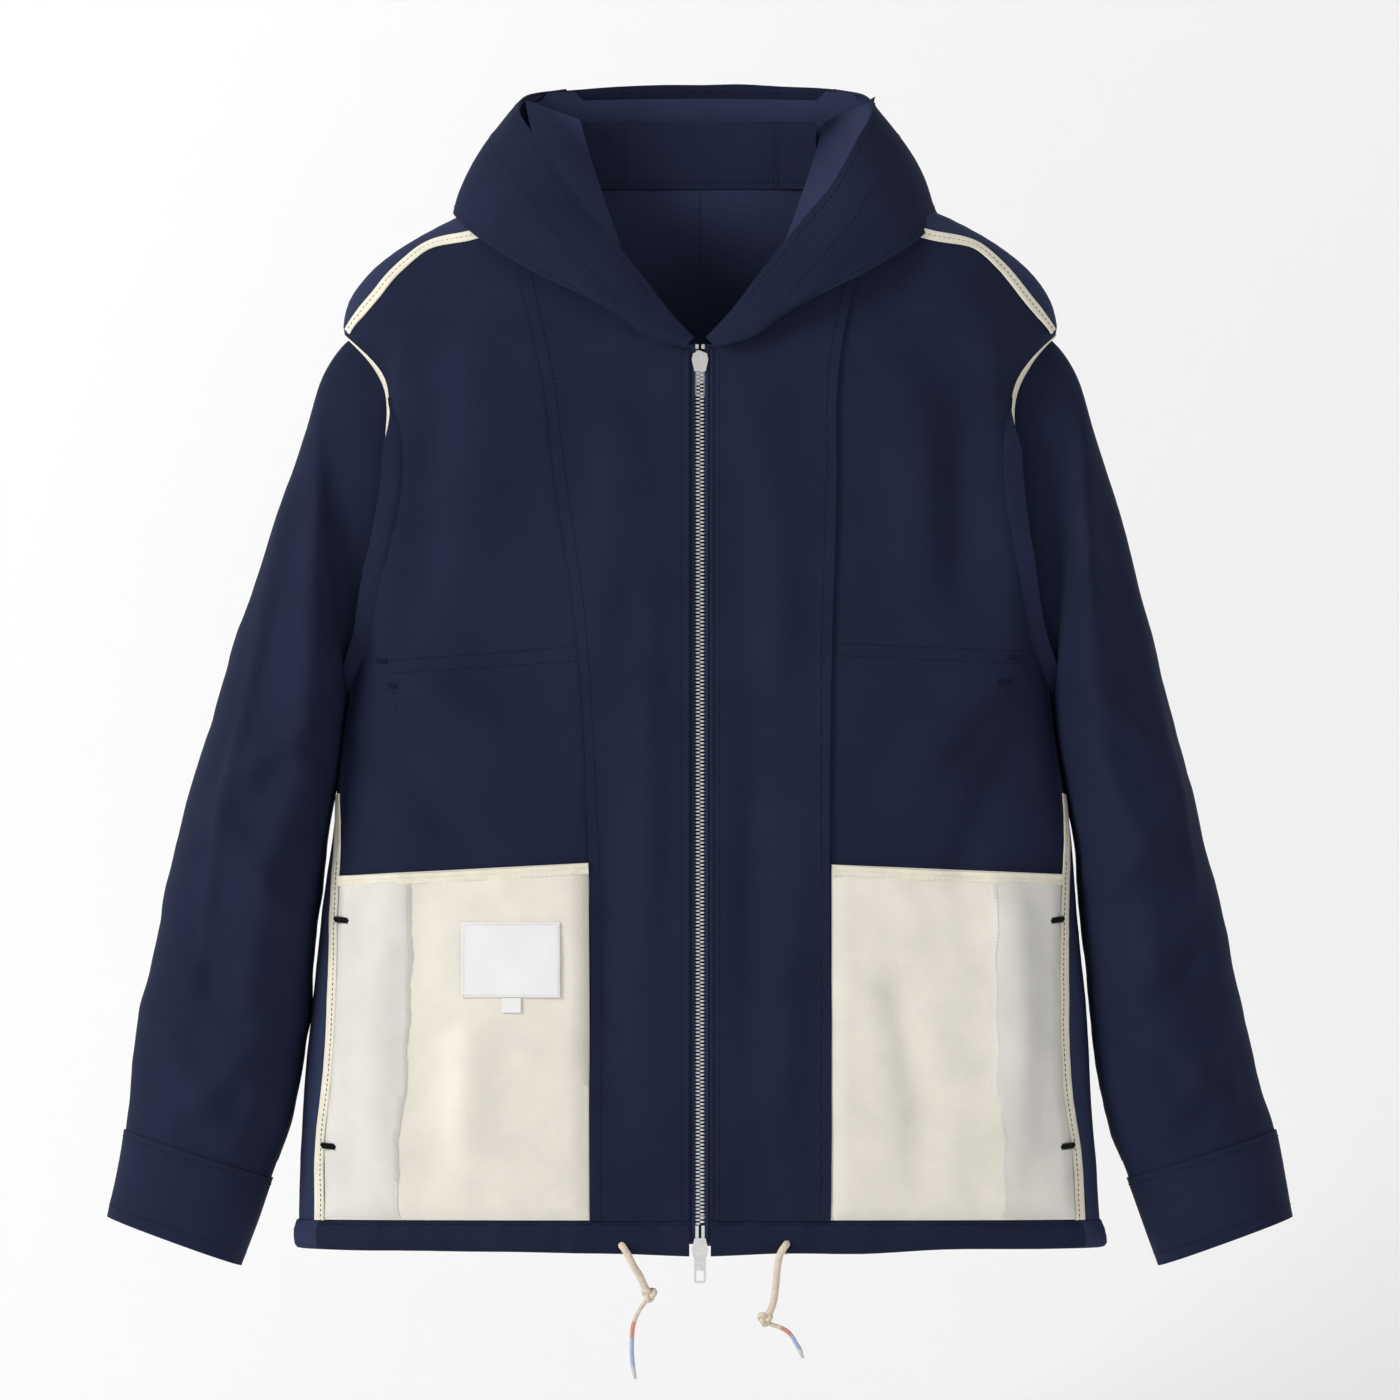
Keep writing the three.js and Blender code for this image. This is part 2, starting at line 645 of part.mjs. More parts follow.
// Two plates held apart by a post that runs between the rows of teeth. Its outline is a shield.
function sliderSolid(middle, upsideDown) {
  const turn = upsideDown ? -1 : 1;
  const half = SLIDER_WIDTH / 2;
  const outline = [
    [-half + 2, -SLIDER_HEIGHT / 2],
    [half - 2, -SLIDER_HEIGHT / 2],
    [half, 1],
    [half - 1, SLIDER_HEIGHT / 2 - 2],
    [0, SLIDER_HEIGHT / 2],
    [-half + 1, SLIDER_HEIGHT / 2 - 2],
    [-half, 1],
  ].map(([x, z]) => [x, middle + turn * z]);
  const near = TEETH_DEPTH / 2 + SLIDER_GAP;
  const front = prism(outline, -near - PLATE, -near);
  const back = prism(outline, near, near + PLATE);
  const post = block(-0.6, 0.6, -near - 0.1, near + 0.1, middle - 3, middle + 3);
  return front.add(back).add(post);
}

const TOP_SLIDER_Z = ZIP_TOP_Z - 12;
const BOTTOM_SLIDER_Z = HEM_Z + 5;
const PULL_WIDTH = 8.6;
const PULL_LENGTH = 25;
const PULL_BAR = 1.6; // its top bar, which lies in the bail
const PULL_THICK = 1.2;

function pullTab(top) {
  const half = PULL_WIDTH / 2;
  const tab = prism(
    [
      [-half + 1, top],
      [half - 1, top],
      [half, top - 2],
      [half, top - PULL_LENGTH + 1],
      [half - 1, top - PULL_LENGTH],
      [-half + 1, top - PULL_LENGTH],
      [-half, top - PULL_LENGTH + 1],
      [-half, top - 2],
    ],
    -PULL_THICK / 2,
    PULL_THICK / 2,
  );
  const window = block(-2.6, 2.6, -5, 5, top - PULL_LENGTH + 1.8, top - PULL_LENGTH + 9);
  const eye = block(-2, 2, -5, 5, top - 6, top - PULL_BAR);
  return tab.subtract(window).subtract(eye);
}

function sliders() {
  const back = TEETH_DEPTH / 2 + SLIDER_GAP + PLATE;
  for (const [name, middle, upsideDown] of [
    ["top", TOP_SLIDER_Z, false],
    ["bottom", BOTTOM_SLIDER_Z, true],
  ]) {
    // The bail stands on the inner plate, and the pull hangs in it.
    const bail = block(-1.2, 1.2, back - 0.2, back + 3.6, middle + 0.6, middle + 1.9)
      .add(block(-1.2, 1.2, back + 2.4, back + 3.6, middle - 4, middle + 1.9))
      .add(block(-1.2, 1.2, back - 0.2, back + 3.6, middle - 4, middle - 2.9));
    add(`zip_${name}_slider`, onChain(sliderSolid(middle, upsideDown).add(bail)), metal());
    const pull = pullTab(middle - 0.1).translate([0, back + 1.2, 0]);
    add(`zip_${name}_pull`, onChain(pull), metal());
  }
}
sliders();

// ---- hood

const collarEdges = [
  // lower edge, then rim, from the front of the neck round to the back
  [[11, -64, -90], [5, -63, -84]],
  [[36, -67, -83], [22, -63, -66]],
  [[58, -68, -68], [44, -59, -37]],
  [[85, -67, -53], [68, -52, -7]],
  [[120, -61, -36], [94, -42, 25]],
  [[158, -42, -12], [117, -25, 59]],
  [[176, -8, 5.6], [131, -3, 81]],
  [[174, 28, 10], [126, 28, 90]],
  [[152, 56, 15], [97, 57, 95]],
];
const COLLAR_BULGE = 8;
const FACING_SHARE = 0.6;

const asCurve = (points) =>
  new THREE.CatmullRomCurve3(points.map(([x, y, z]) => new THREE.Vector3(x, y, z)), false, "centripetal");

function collarPoint(lower, rim, u, v) {
  const from = lower.getPoint(u);
  const to = rim.getPoint(u);
  const p = from.clone().lerp(to, v);
  const outwards = new THREE.Vector3(p.x, p.y, 0).normalize();
  const width = from.distanceTo(to);
  return p.addScaledVector(outwards, 4 * v * (1 - v) * COLLAR_BULGE * clamp(width / 60));
}

function hoodSides() {
  for (const [name, side] of SIDES) {
    const lower = asCurve(collarEdges.map(([edge]) => edge));
    const rim = asCurve(collarEdges.map(([, edge]) => edge));
    const outer = sheet((u, v) => collarPoint(lower, rim, u, v), 16, 5, 0, CLOTH);
    add(`hood_side_${name}`, mirror(outer, side), navy());
    const shape = (u, v) => collarPoint(lower, rim, mix(0.12, 1, u), mix(FACING_SHARE, 1, v));
    const facing = sheet(shape, 14, 2, -GAP - TAPE, -GAP);
    add(`hood_facing_${name}`, mirror(facing, side), navy());
  }
}
hoodSides();

const RIM_BACK = { x: 98.8, y: 80, edgeY: 58.8, top: 99, edgeTop: 95.6, bottom: 64.6 };
function hoodBack() {
  const rim = (u, v) => {
    const x = mix(-RIM_BACK.x, RIM_BACK.x, u);
    const out = (x / RIM_BACK.x) ** 2;
    const y = mix(RIM_BACK.y, RIM_BACK.edgeY, out);
    const top = mix(RIM_BACK.top, RIM_BACK.edgeTop, out);
    return new THREE.Vector3(x, y + 3 * (1 - v), mix(RIM_BACK.bottom, top, v));
  };
  add("hood_rim_back", sheet(rim, 12, 2, -CLOTH, 0), navy());

  const STAND_HALF = 84;
  const stand = (u, v) => {
    const x = mix(-STAND_HALF, STAND_HALF, u);
    const out = (x / STAND_HALF) ** 2;
    const power = roundness(NECK_BACK_Z);
    const foot = NECK_HALF_DEPTH * (1 - (Math.abs(x) / NECK_HALF_WIDTH) ** power) ** (1 / power);
    return new THREE.Vector3(x, mix(foot + 1, mix(48, 30, out), v), mix(NECK_BACK_Z + GAP, 75, v));
  };
  add("hood_stand", sheet(stand, 12, 3, -CLOTH, 0), navy());
}
hoodBack();

const BAG = [
  // height, half width, front y, back y
  [-150, 112, 66, 92],
  [-140, 134, 63, 98],
  [-90, 142, 62, 102],
  [-20, 136, 61, 102],
  [30, 116, 60, 96],
  [64, 90, 58, 84.6],
];
const BAG_AROUND = 24;
const CENTRE_HALF = 55; // the centre panel's seams

function bagRing([z, half, near, far], shrink) {
  return Array.from({ length: BAG_AROUND }, (_, i) => {
    const turn = (i / BAG_AROUND) * 2 * Math.PI;
    return new THREE.Vector3(
      (half - shrink) * signedPower(Math.cos(turn), 0.8),
      (near + far) / 2 + ((far - near) / 2 - shrink) * signedPower(Math.sin(turn), 0.8),
      z,
    );
  });
}

function hoodBag() {
  const outside = loft(BAG.map((row) => bagRing(row, 0)));
  const lifted = [[BAG[0][0] + 2 * CLOTH, ...BAG[0].slice(1)], ...BAG.slice(1)];
  const top = BAG.at(-1);
  const inside = loft([...lifted, [top[0] + 10, ...top.slice(1)]].map((row) => bagRing(row, CLOTH)));
  const bag = outside.subtract(inside);
  const middle = (half) => block(-half, half, 0, 200, -300, 200);
  add("hood_bag_centre", bag.intersect(middle(CENTRE_HALF - GAP / 2)), navy());
  const sides = bag.subtract(middle(CENTRE_HALF + GAP / 2));
  add("hood_bag_left", sides.intersect(block(0, 400, 0, 200, -300, 200)), navy());
  add("hood_bag_right", sides.intersect(block(-400, 0, 0, 200, -300, 200)), navy());
}
hoodBag();

// ---- sleeves

const SLEEVE_AROUND = 18;
const SLEEVE_CLEAR = BINDING_HIGH + 2.2;
const cuffTilt = THREE.MathUtils.degToRad(20);
const outerX = (z) => mix(290, SLEEVE_END_X + 46, clamp((-190 - z) / (SLEEVE_DROP - 17 - 190)));

// Each ring: outer [x, z], inner [x, z], half depth.
function sleeveRings() {
  const end = [SLEEVE_END_X, -SLEEVE_DROP];
  const halfCuff = CUFF_WIDTH / 2;
  const across = [Math.cos(cuffTilt) * halfCuff, Math.sin(cuffTilt) * halfCuff];
  const cuffEnd = [
    [end[0] + across[0], end[1] + across[1]],
    [end[0] - across[0], end[1] - across[1]],
    44,
  ];
  const up = [-Math.sin(cuffTilt * 0.54) * CUFF_LENGTH, Math.cos(cuffTilt * 0.54) * CUFF_LENGTH];
  const cuffStart = [
    [cuffEnd[0][0] + up[0], cuffEnd[0][1] + up[1]],
    [cuffEnd[1][0] + 1.9 * up[0], cuffEnd[1][1] + up[1]],
    47,
  ];
  const inner = (z) => halfWidth(z) + SLEEVE_CLEAR;
  const under = ARMPIT_Z - 12;
  const rings = [
    [[196, ARMHOLE_TOP_Z], [196, ARMPIT_Z], ARMHOLE_HALF_DEPTH],
    [[253, ARMHOLE_TOP_Z], [236, ARMPIT_Z], ARMHOLE_HALF_DEPTH],
    [[272, -112], [inner(ARMPIT_Z), ARMPIT_Z - 4], ARMHOLE_HALF_DEPTH + 1],
    [[284, -152], [inner(under), under], 44],
    [[297, -205], [inner(-362), -362], 52],
    [[outerX(-270), -270], [inner(-390), -390], 56],
    [[outerX(-350), -350], [inner(-430), -430], 57],
    [[outerX(-440), -440], [inner(-490), -490], 55],
    [[outerX(-540), -540], [inner(-570), -570], 52],
    [[outerX(-610), -610], [294, -640], 49],
    cuffStart,
    cuffEnd,
  ];
  return rings;
}

function sleeveRing([outer, inner, depth], grow) {
  const middle = [(outer[0] + inner[0]) / 2, (outer[1] + inner[1]) / 2];
  const half = Math.hypot(outer[0] - inner[0], outer[1] - inner[1]) / 2;
  const direction = [(outer[0] - inner[0]) / 2 / half, (outer[1] - inner[1]) / 2 / half];
  return Array.from({ length: SLEEVE_AROUND }, (_, i) => {
    const turn = (i / SLEEVE_AROUND) * 2 * Math.PI;
    const reach = (half + grow) * signedPower(Math.cos(turn), 0.8);
    return new THREE.Vector3(
      middle[0] + direction[0] * reach,
      SLEEVE_Y + (depth + grow) * signedPower(Math.sin(turn), 0.8),
      middle[1] + direction[1] * reach,
    );
  });
}

function between(a, b, share) {
  const point = (p, q) => [mix(p[0], q[0], share), mix(p[1], q[1], share)];
  return [point(a[0], b[0]), point(a[1], b[1]), mix(a[2], b[2], share)];
}

function sleeves() {
  const rings = sleeveRings();
  const cuffStart = rings.at(-2);
  const cuffEnd = rings.at(-1);
  const gapShare = (GAP * 1.3) / CUFF_LENGTH;
  const afterCuff = between(cuffStart, cuffEnd, gapShare);
  const past = between(cuffStart, cuffEnd, 1.2);
  const tube = (list, grow) => loft(list.map((ring) => sleeveRing(ring, grow)));
  const arm = rings.slice(0, -1);
  const outside = tube(arm, CLOTH);
  const inside = tube([...arm, cuffEnd], 0);
  const body = bodySolid(CLOTH + GAP);
  for (const [name, side] of SIDES) {
    const overBinding = bodySolid(BINDING_HIGH + GAP).intersect(
      sidePrism(grownArmhole(BINDING_WIDTH + CLOTH + 2 * GAP), 170, 400),
    );
    const besideBinding = overBinding.subtract(sidePrism(grownArmhole(CLOTH + GAP / 2), 160, 410));
    const sleeve = outside.subtract(inside).subtract(body).subtract(besideBinding);
    const largest = sleeve.decompose().sort((a, b) => b.volume() - a.volume())[0];
    add(`sleeve_${name}`, mirror(largest, side), navy());
    const cuff = tube([afterCuff, cuffEnd], CLOTH + 0.8).subtract(tube([cuffStart, cuffEnd, past], -0.6));
    add(`cuff_${name}`, mirror(cuff, side), navy());
  }
}
sleeves();

// ---- drawcord

// A round cord along a list of [x, y, z] points.
function cordSolid(points, diameter, sides, steps) {
  const curve = asCurve(points);
  const ring = Array.from({ length: sides }, (_, i) => {
    const turn = (i / sides) * 2 * Math.PI;
    return new THREE.Vector2((Math.cos(turn) * diameter) / 2, (Math.sin(turn) * diameter) / 2);
  });
  const geometry = new THREE.ExtrudeGeometry(new THREE.Shape(ring), {
    steps,
    bevelEnabled: false,
    extrudePath: curve,
  });
  return solidOf(geometry);
}

// Routes of the two free ends, from the hem down: first the cord to its knot, then the thin tail.
const cordRoutes = {
  right: {
    cord: [
      [-CORD_EXITS.right, CORD_Y, HEM_Z - 0.2],
      [-CORD_EXITS.right, CORD_Y, HEM_Z - 3],
      [-47.5, CORD_Y, HEM_Z - 9],
      [-42.5, CORD_Y, HEM_Z - 16],
      [-39.5, CORD_Y, HEM_Z - 23],
    ],
    knot: [-36.5, CORD_Y, HEM_Z - 28],
    tail: [
      [-40, CORD_Y, HEM_Z - 33.5],
      [-44, CORD_Y, HEM_Z - 40],
      [-48, CORD_Y, HEM_Z - 50],
      [-49, CORD_Y, HEM_Z - 61],
    ],
    tip: [
      [-49, CORD_Y, HEM_Z - 61.6],
      [-49, CORD_Y, HEM_Z - 71],
      [-48, CORD_Y, HEM_Z - 81],
      [-46.5, CORD_Y, HEM_Z - 89],
    ],
  },
  left: {
    cord: [
      [CORD_EXITS.left, CORD_Y, HEM_Z - 0.2],
      [CORD_EXITS.left, CORD_Y, HEM_Z - 3],
      [57, CORD_Y, HEM_Z - 11],
      [54.5, CORD_Y, HEM_Z - 22],
      [53, CORD_Y, HEM_Z - 33],
      [50, CORD_Y, HEM_Z - 41],
    ],
    knot: [46.8, CORD_Y, HEM_Z - 45.4],
    tail: [
      [51, CORD_Y, HEM_Z - 49.5],
      [57, CORD_Y, HEM_Z - 51.5],
      [62, CORD_Y, HEM_Z - 54],
      [66, CORD_Y, HEM_Z - 58],
    ],
    tip: [
      [66.5, CORD_Y, HEM_Z - 58.6],
      [69, CORD_Y, HEM_Z - 63],
      [72, CORD_Y, HEM_Z - 68],
      [74, CORD_Y, HEM_Z - 74],
    ],
  },
};
const KNOT_RADIUS = 5.6;

function drawcord() {
  for (const [name] of SIDES) {
    const route = cordRoutes[name];
    add(`cord_end_${name}`, cordSolid(route.cord, CORD_DIAMETER, 10, 6), braid());
    add(`cord_tail_${name}`, cordSolid(route.tail, TAIL_DIAMETER, 8, 6), braid());
    add(`cord_tip_${name}`, cordSolid(route.tip, TAIL_DIAMETER, 8, 4), braid());
    const knot = new THREE.SphereGeometry(KNOT_RADIUS, 12, 8).translate(...route.knot);
    const clear = cordSolid(route.cord, CORD_DIAMETER + 2 * GAP, 10, 6).add(
      cordSolid(route.tail, TAIL_DIAMETER + 2 * GAP, 8, 6),
    );
    add(`cord_knot_${name}`, solidOf(knot).subtract(clear), braid());
  }
  // The hidden length goes from the left exit round the back to the right exit.
  const reach = halfWidth(CORD_Z) + CORD_LIFT;
  const angleAt = (x) => -Math.acos((x / reach) ** (roundness(CORD_Z) / 2));
  const turnIn = 14;
  const start = angleAt(CORD_EXITS.left + turnIn);
  const end = 1.5 * Math.PI - (angleAt(CORD_EXITS.right + turnIn) + Math.PI / 2);
  const points = [
    [CORD_EXITS.left, CORD_Y, HEM_Z + 0.75],
    [CORD_EXITS.left, CORD_Y, HEM_Z + 6],
  ];
  const step = (2 * Math.PI) / AROUND;
  for (let i = Math.ceil(start / step); i * step < end; i++) {
    const p = bodyPoint(i * step, CORD_Z, CORD_LIFT);
    points.push([p.x, p.y, p.z]);
  }
  points.push([-CORD_EXITS.right, CORD_Y, HEM_Z + 6], [-CORD_EXITS.right, CORD_Y, HEM_Z + 0.75]);
  add("drawcord", cordSolid(points, CORD_DIAMETER, 8, 66), braid());
}
drawcord();

export default jacket;
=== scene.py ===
"""Looks of the foul weather jacket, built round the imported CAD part.

Shapes are worked out in millimetres on the CAD's own body form, and become metres as each mesh is made.
"""

import math

import bmesh
import bpy
import numpy as np
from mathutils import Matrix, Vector
from mathutils.geometry import delaunay_2d_cdt


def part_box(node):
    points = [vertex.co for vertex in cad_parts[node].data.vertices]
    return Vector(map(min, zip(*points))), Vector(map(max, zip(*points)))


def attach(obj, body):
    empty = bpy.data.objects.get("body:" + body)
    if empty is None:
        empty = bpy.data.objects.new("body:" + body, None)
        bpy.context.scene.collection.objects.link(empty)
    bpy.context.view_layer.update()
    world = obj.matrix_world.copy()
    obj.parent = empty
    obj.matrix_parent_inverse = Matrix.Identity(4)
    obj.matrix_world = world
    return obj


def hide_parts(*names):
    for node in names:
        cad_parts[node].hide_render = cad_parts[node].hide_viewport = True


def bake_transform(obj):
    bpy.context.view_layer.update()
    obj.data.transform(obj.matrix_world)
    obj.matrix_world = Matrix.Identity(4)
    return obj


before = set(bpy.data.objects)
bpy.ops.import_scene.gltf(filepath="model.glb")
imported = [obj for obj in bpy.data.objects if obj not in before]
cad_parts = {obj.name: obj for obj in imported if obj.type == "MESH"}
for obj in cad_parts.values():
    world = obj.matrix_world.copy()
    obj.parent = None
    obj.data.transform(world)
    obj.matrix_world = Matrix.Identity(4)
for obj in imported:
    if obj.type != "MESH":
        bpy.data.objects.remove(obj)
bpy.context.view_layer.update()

MM = 0.001


def box(node):
    """Lowest and highest corner of a CAD node in millimetres."""
    low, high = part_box(node)
    return np.array(low) / MM, np.array(high) / MM


# ---- camera, light and stage

VIEW_WIDTH = 1.008  # of the picture, at the jacket
VIEW_HEIGHT = -0.344  # of the picture's middle
CAMERA_AWAY = 12.0
SENSOR = 36.0
JACKET_FRONT = -0.05

camera_data = bpy.data.cameras.new("camera")
camera_data.sensor_width = SENSOR
camera_data.lens = SENSOR * CAMERA_AWAY / VIEW_WIDTH
camera_data.clip_end = 100
camera = bpy.data.objects.new("camera", camera_data)
camera.location = (0, JACKET_FRONT - CAMERA_AWAY, VIEW_HEIGHT)
camera.rotation_euler = (math.pi / 2, 0, 0)
bpy.context.collection.objects.link(camera)
bpy.context.scene.camera = camera
bpy.context.scene.view_settings.view_transform = "Standard"

WORLD_GREY = (0.93, 0.93, 0.93, 1)
WORLD_STRENGTH = 0.4
LIGHTS = [
    # name, place, size, watts
    ("key_light", (-2.7, -1.7, 0.9), 1.1, 74),
    ("fill_light", (2.4, -2.8, 0.2), 2.4, 17),
    ("top_light", (0.2, 0.3, 2.4), 1.8, 10),
    ("back_light", (-0.6, 3.2, 0.9), 2.4, 9),
]
for name, place, size, watts in LIGHTS:
    light_data = bpy.data.lights.new(name, "AREA")
    light_data.size = size
    light_data.energy = watts
    light = bpy.data.objects.new(name, light_data)
    light.location = place
    aim = Vector((0, 0, VIEW_HEIGHT)) - Vector(place)
    light.rotation_euler = aim.to_track_quat("-Z", "Y").to_euler()
    bpy.context.collection.objects.link(light)

world = bpy.data.worlds.new("studio")
world.use_nodes = True
world.node_tree.nodes["Background"].inputs["Color"].default_value = WORLD_GREY
world.node_tree.nodes["Background"].inputs["Strength"].default_value = WORLD_STRENGTH
bpy.context.scene.world = world

# ---- meshes

SHARP_ANGLE = math.radians(50)


def build(name, points, faces, material):
    """A mesh object from points in millimetres."""
    mesh = bpy.data.meshes.new(name)
    mesh.from_pydata((np.asarray(points, float) * MM).tolist(), [], [list(f) for f in faces])
    shaper = bmesh.new()
    shaper.from_mesh(mesh)
    bmesh.ops.recalc_face_normals(shaper, faces=shaper.faces)
    shaper.to_mesh(mesh)
    shaper.free()
    mesh.shade_smooth()
    mesh.set_sharp_from_angle(angle=SHARP_ANGLE)
    mesh.materials.append(material)
    obj = bpy.data.objects.new(name, mesh)
    bpy.context.collection.objects.link(obj)
    return obj


def join(parts):
    """(points, faces) of several (points, faces)."""
    points, faces, count = [], [], 0
    for p, f in parts:
        points.append(p)
        faces.extend([[i + count for i in face] for face in f])
        count += len(p)
    return np.vstack(points), faces


def tube(rings, closed=False):
    """A loft through rings, stations by points by 3, with its ends shut unless the route is closed."""
    rings = np.asarray(rings, float)
    stations, count = rings.shape[:2]
    faces = []
    for i in range(stations if closed else stations - 1):
        a, b = i * count, ((i + 1) % stations) * count
        for k in range(count):
            m = (k + 1) % count
            faces.append((a + k, a + m, b + m, b + k))
    if not closed:
        faces.append(tuple(range(count)))
        faces.append(tuple((stations - 1) * count + k for k in range(count)))
    return rings.reshape(-1, 3), faces


def thick(low, high, faces):
    """A closed sheet from two layers of points with the same faces, walled along their open edges."""
    count = len(low)
    used = {}
    for face in faces:
        for a, b in zip(face, list(face[1:]) + [face[0]]):
            used.setdefault((min(a, b), max(a, b)), []).append((a, b))
    edges = [uses[0] for uses in used.values() if len(uses) == 1]
    walls = [(b, a, a + count, b + count) for a, b in edges]
    top = [tuple(i + count for i in face) for face in faces]
    return np.vstack([low, high]), [tuple(reversed(f)) for f in faces] + top + walls


def grid_faces(rows, columns):
    """Four-sided cells over a grid of points, row by row."""
    cells = []
    for j in range(rows - 1):
        for i in range(columns - 1):
            a = j * columns + i
            cells.append((a, a + 1, a + columns + 1, a + columns))
    return cells


# ---- curves and noise


def mix(a, b, share):
    return a + (b - a) * share


def clamp(value):
    return np.clip(value, 0, 1)


def smooth(value):
    value = clamp(value)
    return value * value * (3 - 2 * value)


def signed_power(value, power):
    return np.sign(value) * np.abs(value) ** power


def lengths(points):
    steps = np.linalg.norm(np.diff(points, axis=0), axis=1)
    return np.concatenate([[0], np.cumsum(steps)])


def straight(points, count):
    """count points spaced evenly along straight lines between points."""
    points = np.asarray(points, float)
    run = lengths(points)
    at = np.linspace(0, run[-1], count)
    return np.stack([np.interp(at, run, points[:, k]) for k in range(points.shape[1])], -1)


def curved(points, at, knots=None):
    """A smooth curve through points, read at shares of its way, with knots the share of each point."""
    points = np.asarray(points, float)
    if knots is None:
        knots = lengths(points) / lengths(points)[-1]
    slopes = np.gradient(points, knots, axis=0)
    at = np.clip(np.asarray(at, float), 0, 1)
    i = np.clip(np.searchsorted(knots, at, side="right") - 1, 0, len(knots) - 2)
    width = (knots[i + 1] - knots[i])[..., None]
    t = ((at - knots[i])[..., None]) / width
    return (
        (2 * t**3 - 3 * t**2 + 1) * points[i]
        + (t**3 - 2 * t**2 + t) * slopes[i] * width
        + (3 * t**2 - 2 * t**3) * points[i + 1]
        + (t**3 - t**2) * slopes[i + 1] * width
    )


def noise(x, y, size, seed):
    """Smooth random bumps between -1 and 1, about size across."""
    u = np.asarray(x, float) / size + 100.0
    v = np.asarray(y, float) / size + 100.0
    table = np.random.default_rng(seed).uniform(-1, 1, (256, 256))
    i, j = np.floor(u).astype(int), np.floor(v).astype(int)
    fu, fv = smooth(u - i), smooth(v - j)

    def corner(a, b):
        return table[(i + a) % 256, (j + b) % 256]

    low = mix(corner(0, 0), corner(1, 0), fu)
    high = mix(corner(0, 1), corner(1, 1), fu)
    return mix(low, high, fv)


def folds(x, z, ridges):
    """Height of the folds at x, z. A ridge is (from x, z, to x, z, half width, height), with faded ends."""
    total = np.zeros(np.broadcast(x, z).shape)
    for ax, az, bx, bz, width, height in ridges:
        run = math.hypot(bx - ax, bz - az)
        tx, tz = (bx - ax) / run, (bz - az) / run
        share = ((x - ax) * tx + (z - az) * tz) / run
        bend = 0.25 * width * np.sin(share * 5 + ax)
        off = (x - ax) * -tz + (z - az) * tx + bend
        fade = smooth(share / 0.3 + 0.15) * smooth((1 - share) / 0.4 + 0.1)
        total = total + height * np.exp(-((off / width) ** 2)) * fade
    return total


# ---- the body's form, the same as the CAD's

HEM_Z = box("hem_back")[0][2]
HEM_HEIGHT = 25
HEM_SEAM_Z = HEM_Z + HEM_HEIGHT
HEM_OUT = 5.4  # the hem's tunnel stands off the form by this
HEM_IN = -4.2
HEM_HALF_WIDTH = box("hem_back")[1][0] - HEM_OUT
HEM_HALF_DEPTH = box("hem_back")[1][1] - HEM_OUT
CLOTH = 1.4
HALF_DEPTH = box("back_panel")[1][1] - CLOTH
NECK_RISE = box("back_panel")[1][2] + 4  # the form ends above the panel
ARMPIT_HALF_WIDTH = 252
CHEST_HALF_WIDTH = 224
SHOULDER_HALF_WIDTH = 256
NECK_HALF_WIDTH = 100
NECK_HALF_DEPTH = 40
NECK_DROP = 92
NECK_BACK_Z = 26
SHOULDER_Z = -79
TIP_DROP = 61
ARMHOLE_TOP_Z = SHOULDER_Z - 9
ARMHOLE_DEPTH = 247
ARMPIT_Z = ARMHOLE_TOP_Z - ARMHOLE_DEPTH
ARMHOLE_HALF_DEPTH = 32
ARM_Y = 6  # middle of the armhole and sleeve, front to back
POCKET_TOP_Z = box("pocket_bag_left")[1][2]
FRONT_EDGE = 7.8
PLACKET_LOW = CLOTH + 0.4
PLACKET_HIGH = PLACKET_LOW + CLOTH
BAG_HIGH = PLACKET_LOW + 4
SIDES = [("left", 1), ("right", -1)]


def half_width(z):
    """Half the body's width at a height: neck to shoulder, chest to armpit, then down to the hem."""
    rise = clamp((z - SHOULDER_Z) / (NECK_RISE - SHOULDER_Z))
    above = mix(SHOULDER_HALF_WIDTH, NECK_HALF_WIDTH, rise**2.2)
    tip = (1 - clamp((SHOULDER_Z - z) / TIP_DROP)) ** 2.2
    down = clamp((SHOULDER_Z - TIP_DROP - z) / (SHOULDER_Z - TIP_DROP - ARMPIT_Z))
    chest = mix(mix(CHEST_HALF_WIDTH, ARMPIT_HALF_WIDTH, down), SHOULDER_HALF_WIDTH, tip)
    lower = clamp((ARMPIT_Z - z) / (ARMPIT_Z - HEM_Z))
    below = mix(ARMPIT_HALF_WIDTH, HEM_HALF_WIDTH, 1 - (1 - lower) ** 1.6)
    return np.where(z >= SHOULDER_Z, above, np.where(z >= ARMPIT_Z, chest, below))


def half_depth(z):
    above = mix(HALF_DEPTH - 1, NECK_HALF_DEPTH, clamp((z - SHOULDER_Z) / (NECK_RISE - SHOULDER_Z)))
    below = mix(HALF_DEPTH, HEM_HALF_DEPTH, clamp((ARMPIT_Z - z) / (ARMPIT_Z - HEM_Z)))
    return np.where(z >= SHOULDER_Z, above, below)


def roundness(z):
    return mix(3.3, 2.6, smooth((z - SHOULDER_Z + 6) / 20))


LEVELS = np.linspace(HEM_Z - 20, NECK_RISE, 420)
TURNS = np.linspace(-math.pi / 2, math.pi / 2, 541)  # front middle, round the side, to the back middle


def unit_point(turn, z):
    power = roundness(z)
    reach = (np.abs(np.cos(turn)) ** power + np.abs(np.sin(turn)) ** power) ** (-1 / power)
    return reach * np.cos(turn), reach * np.sin(turn)


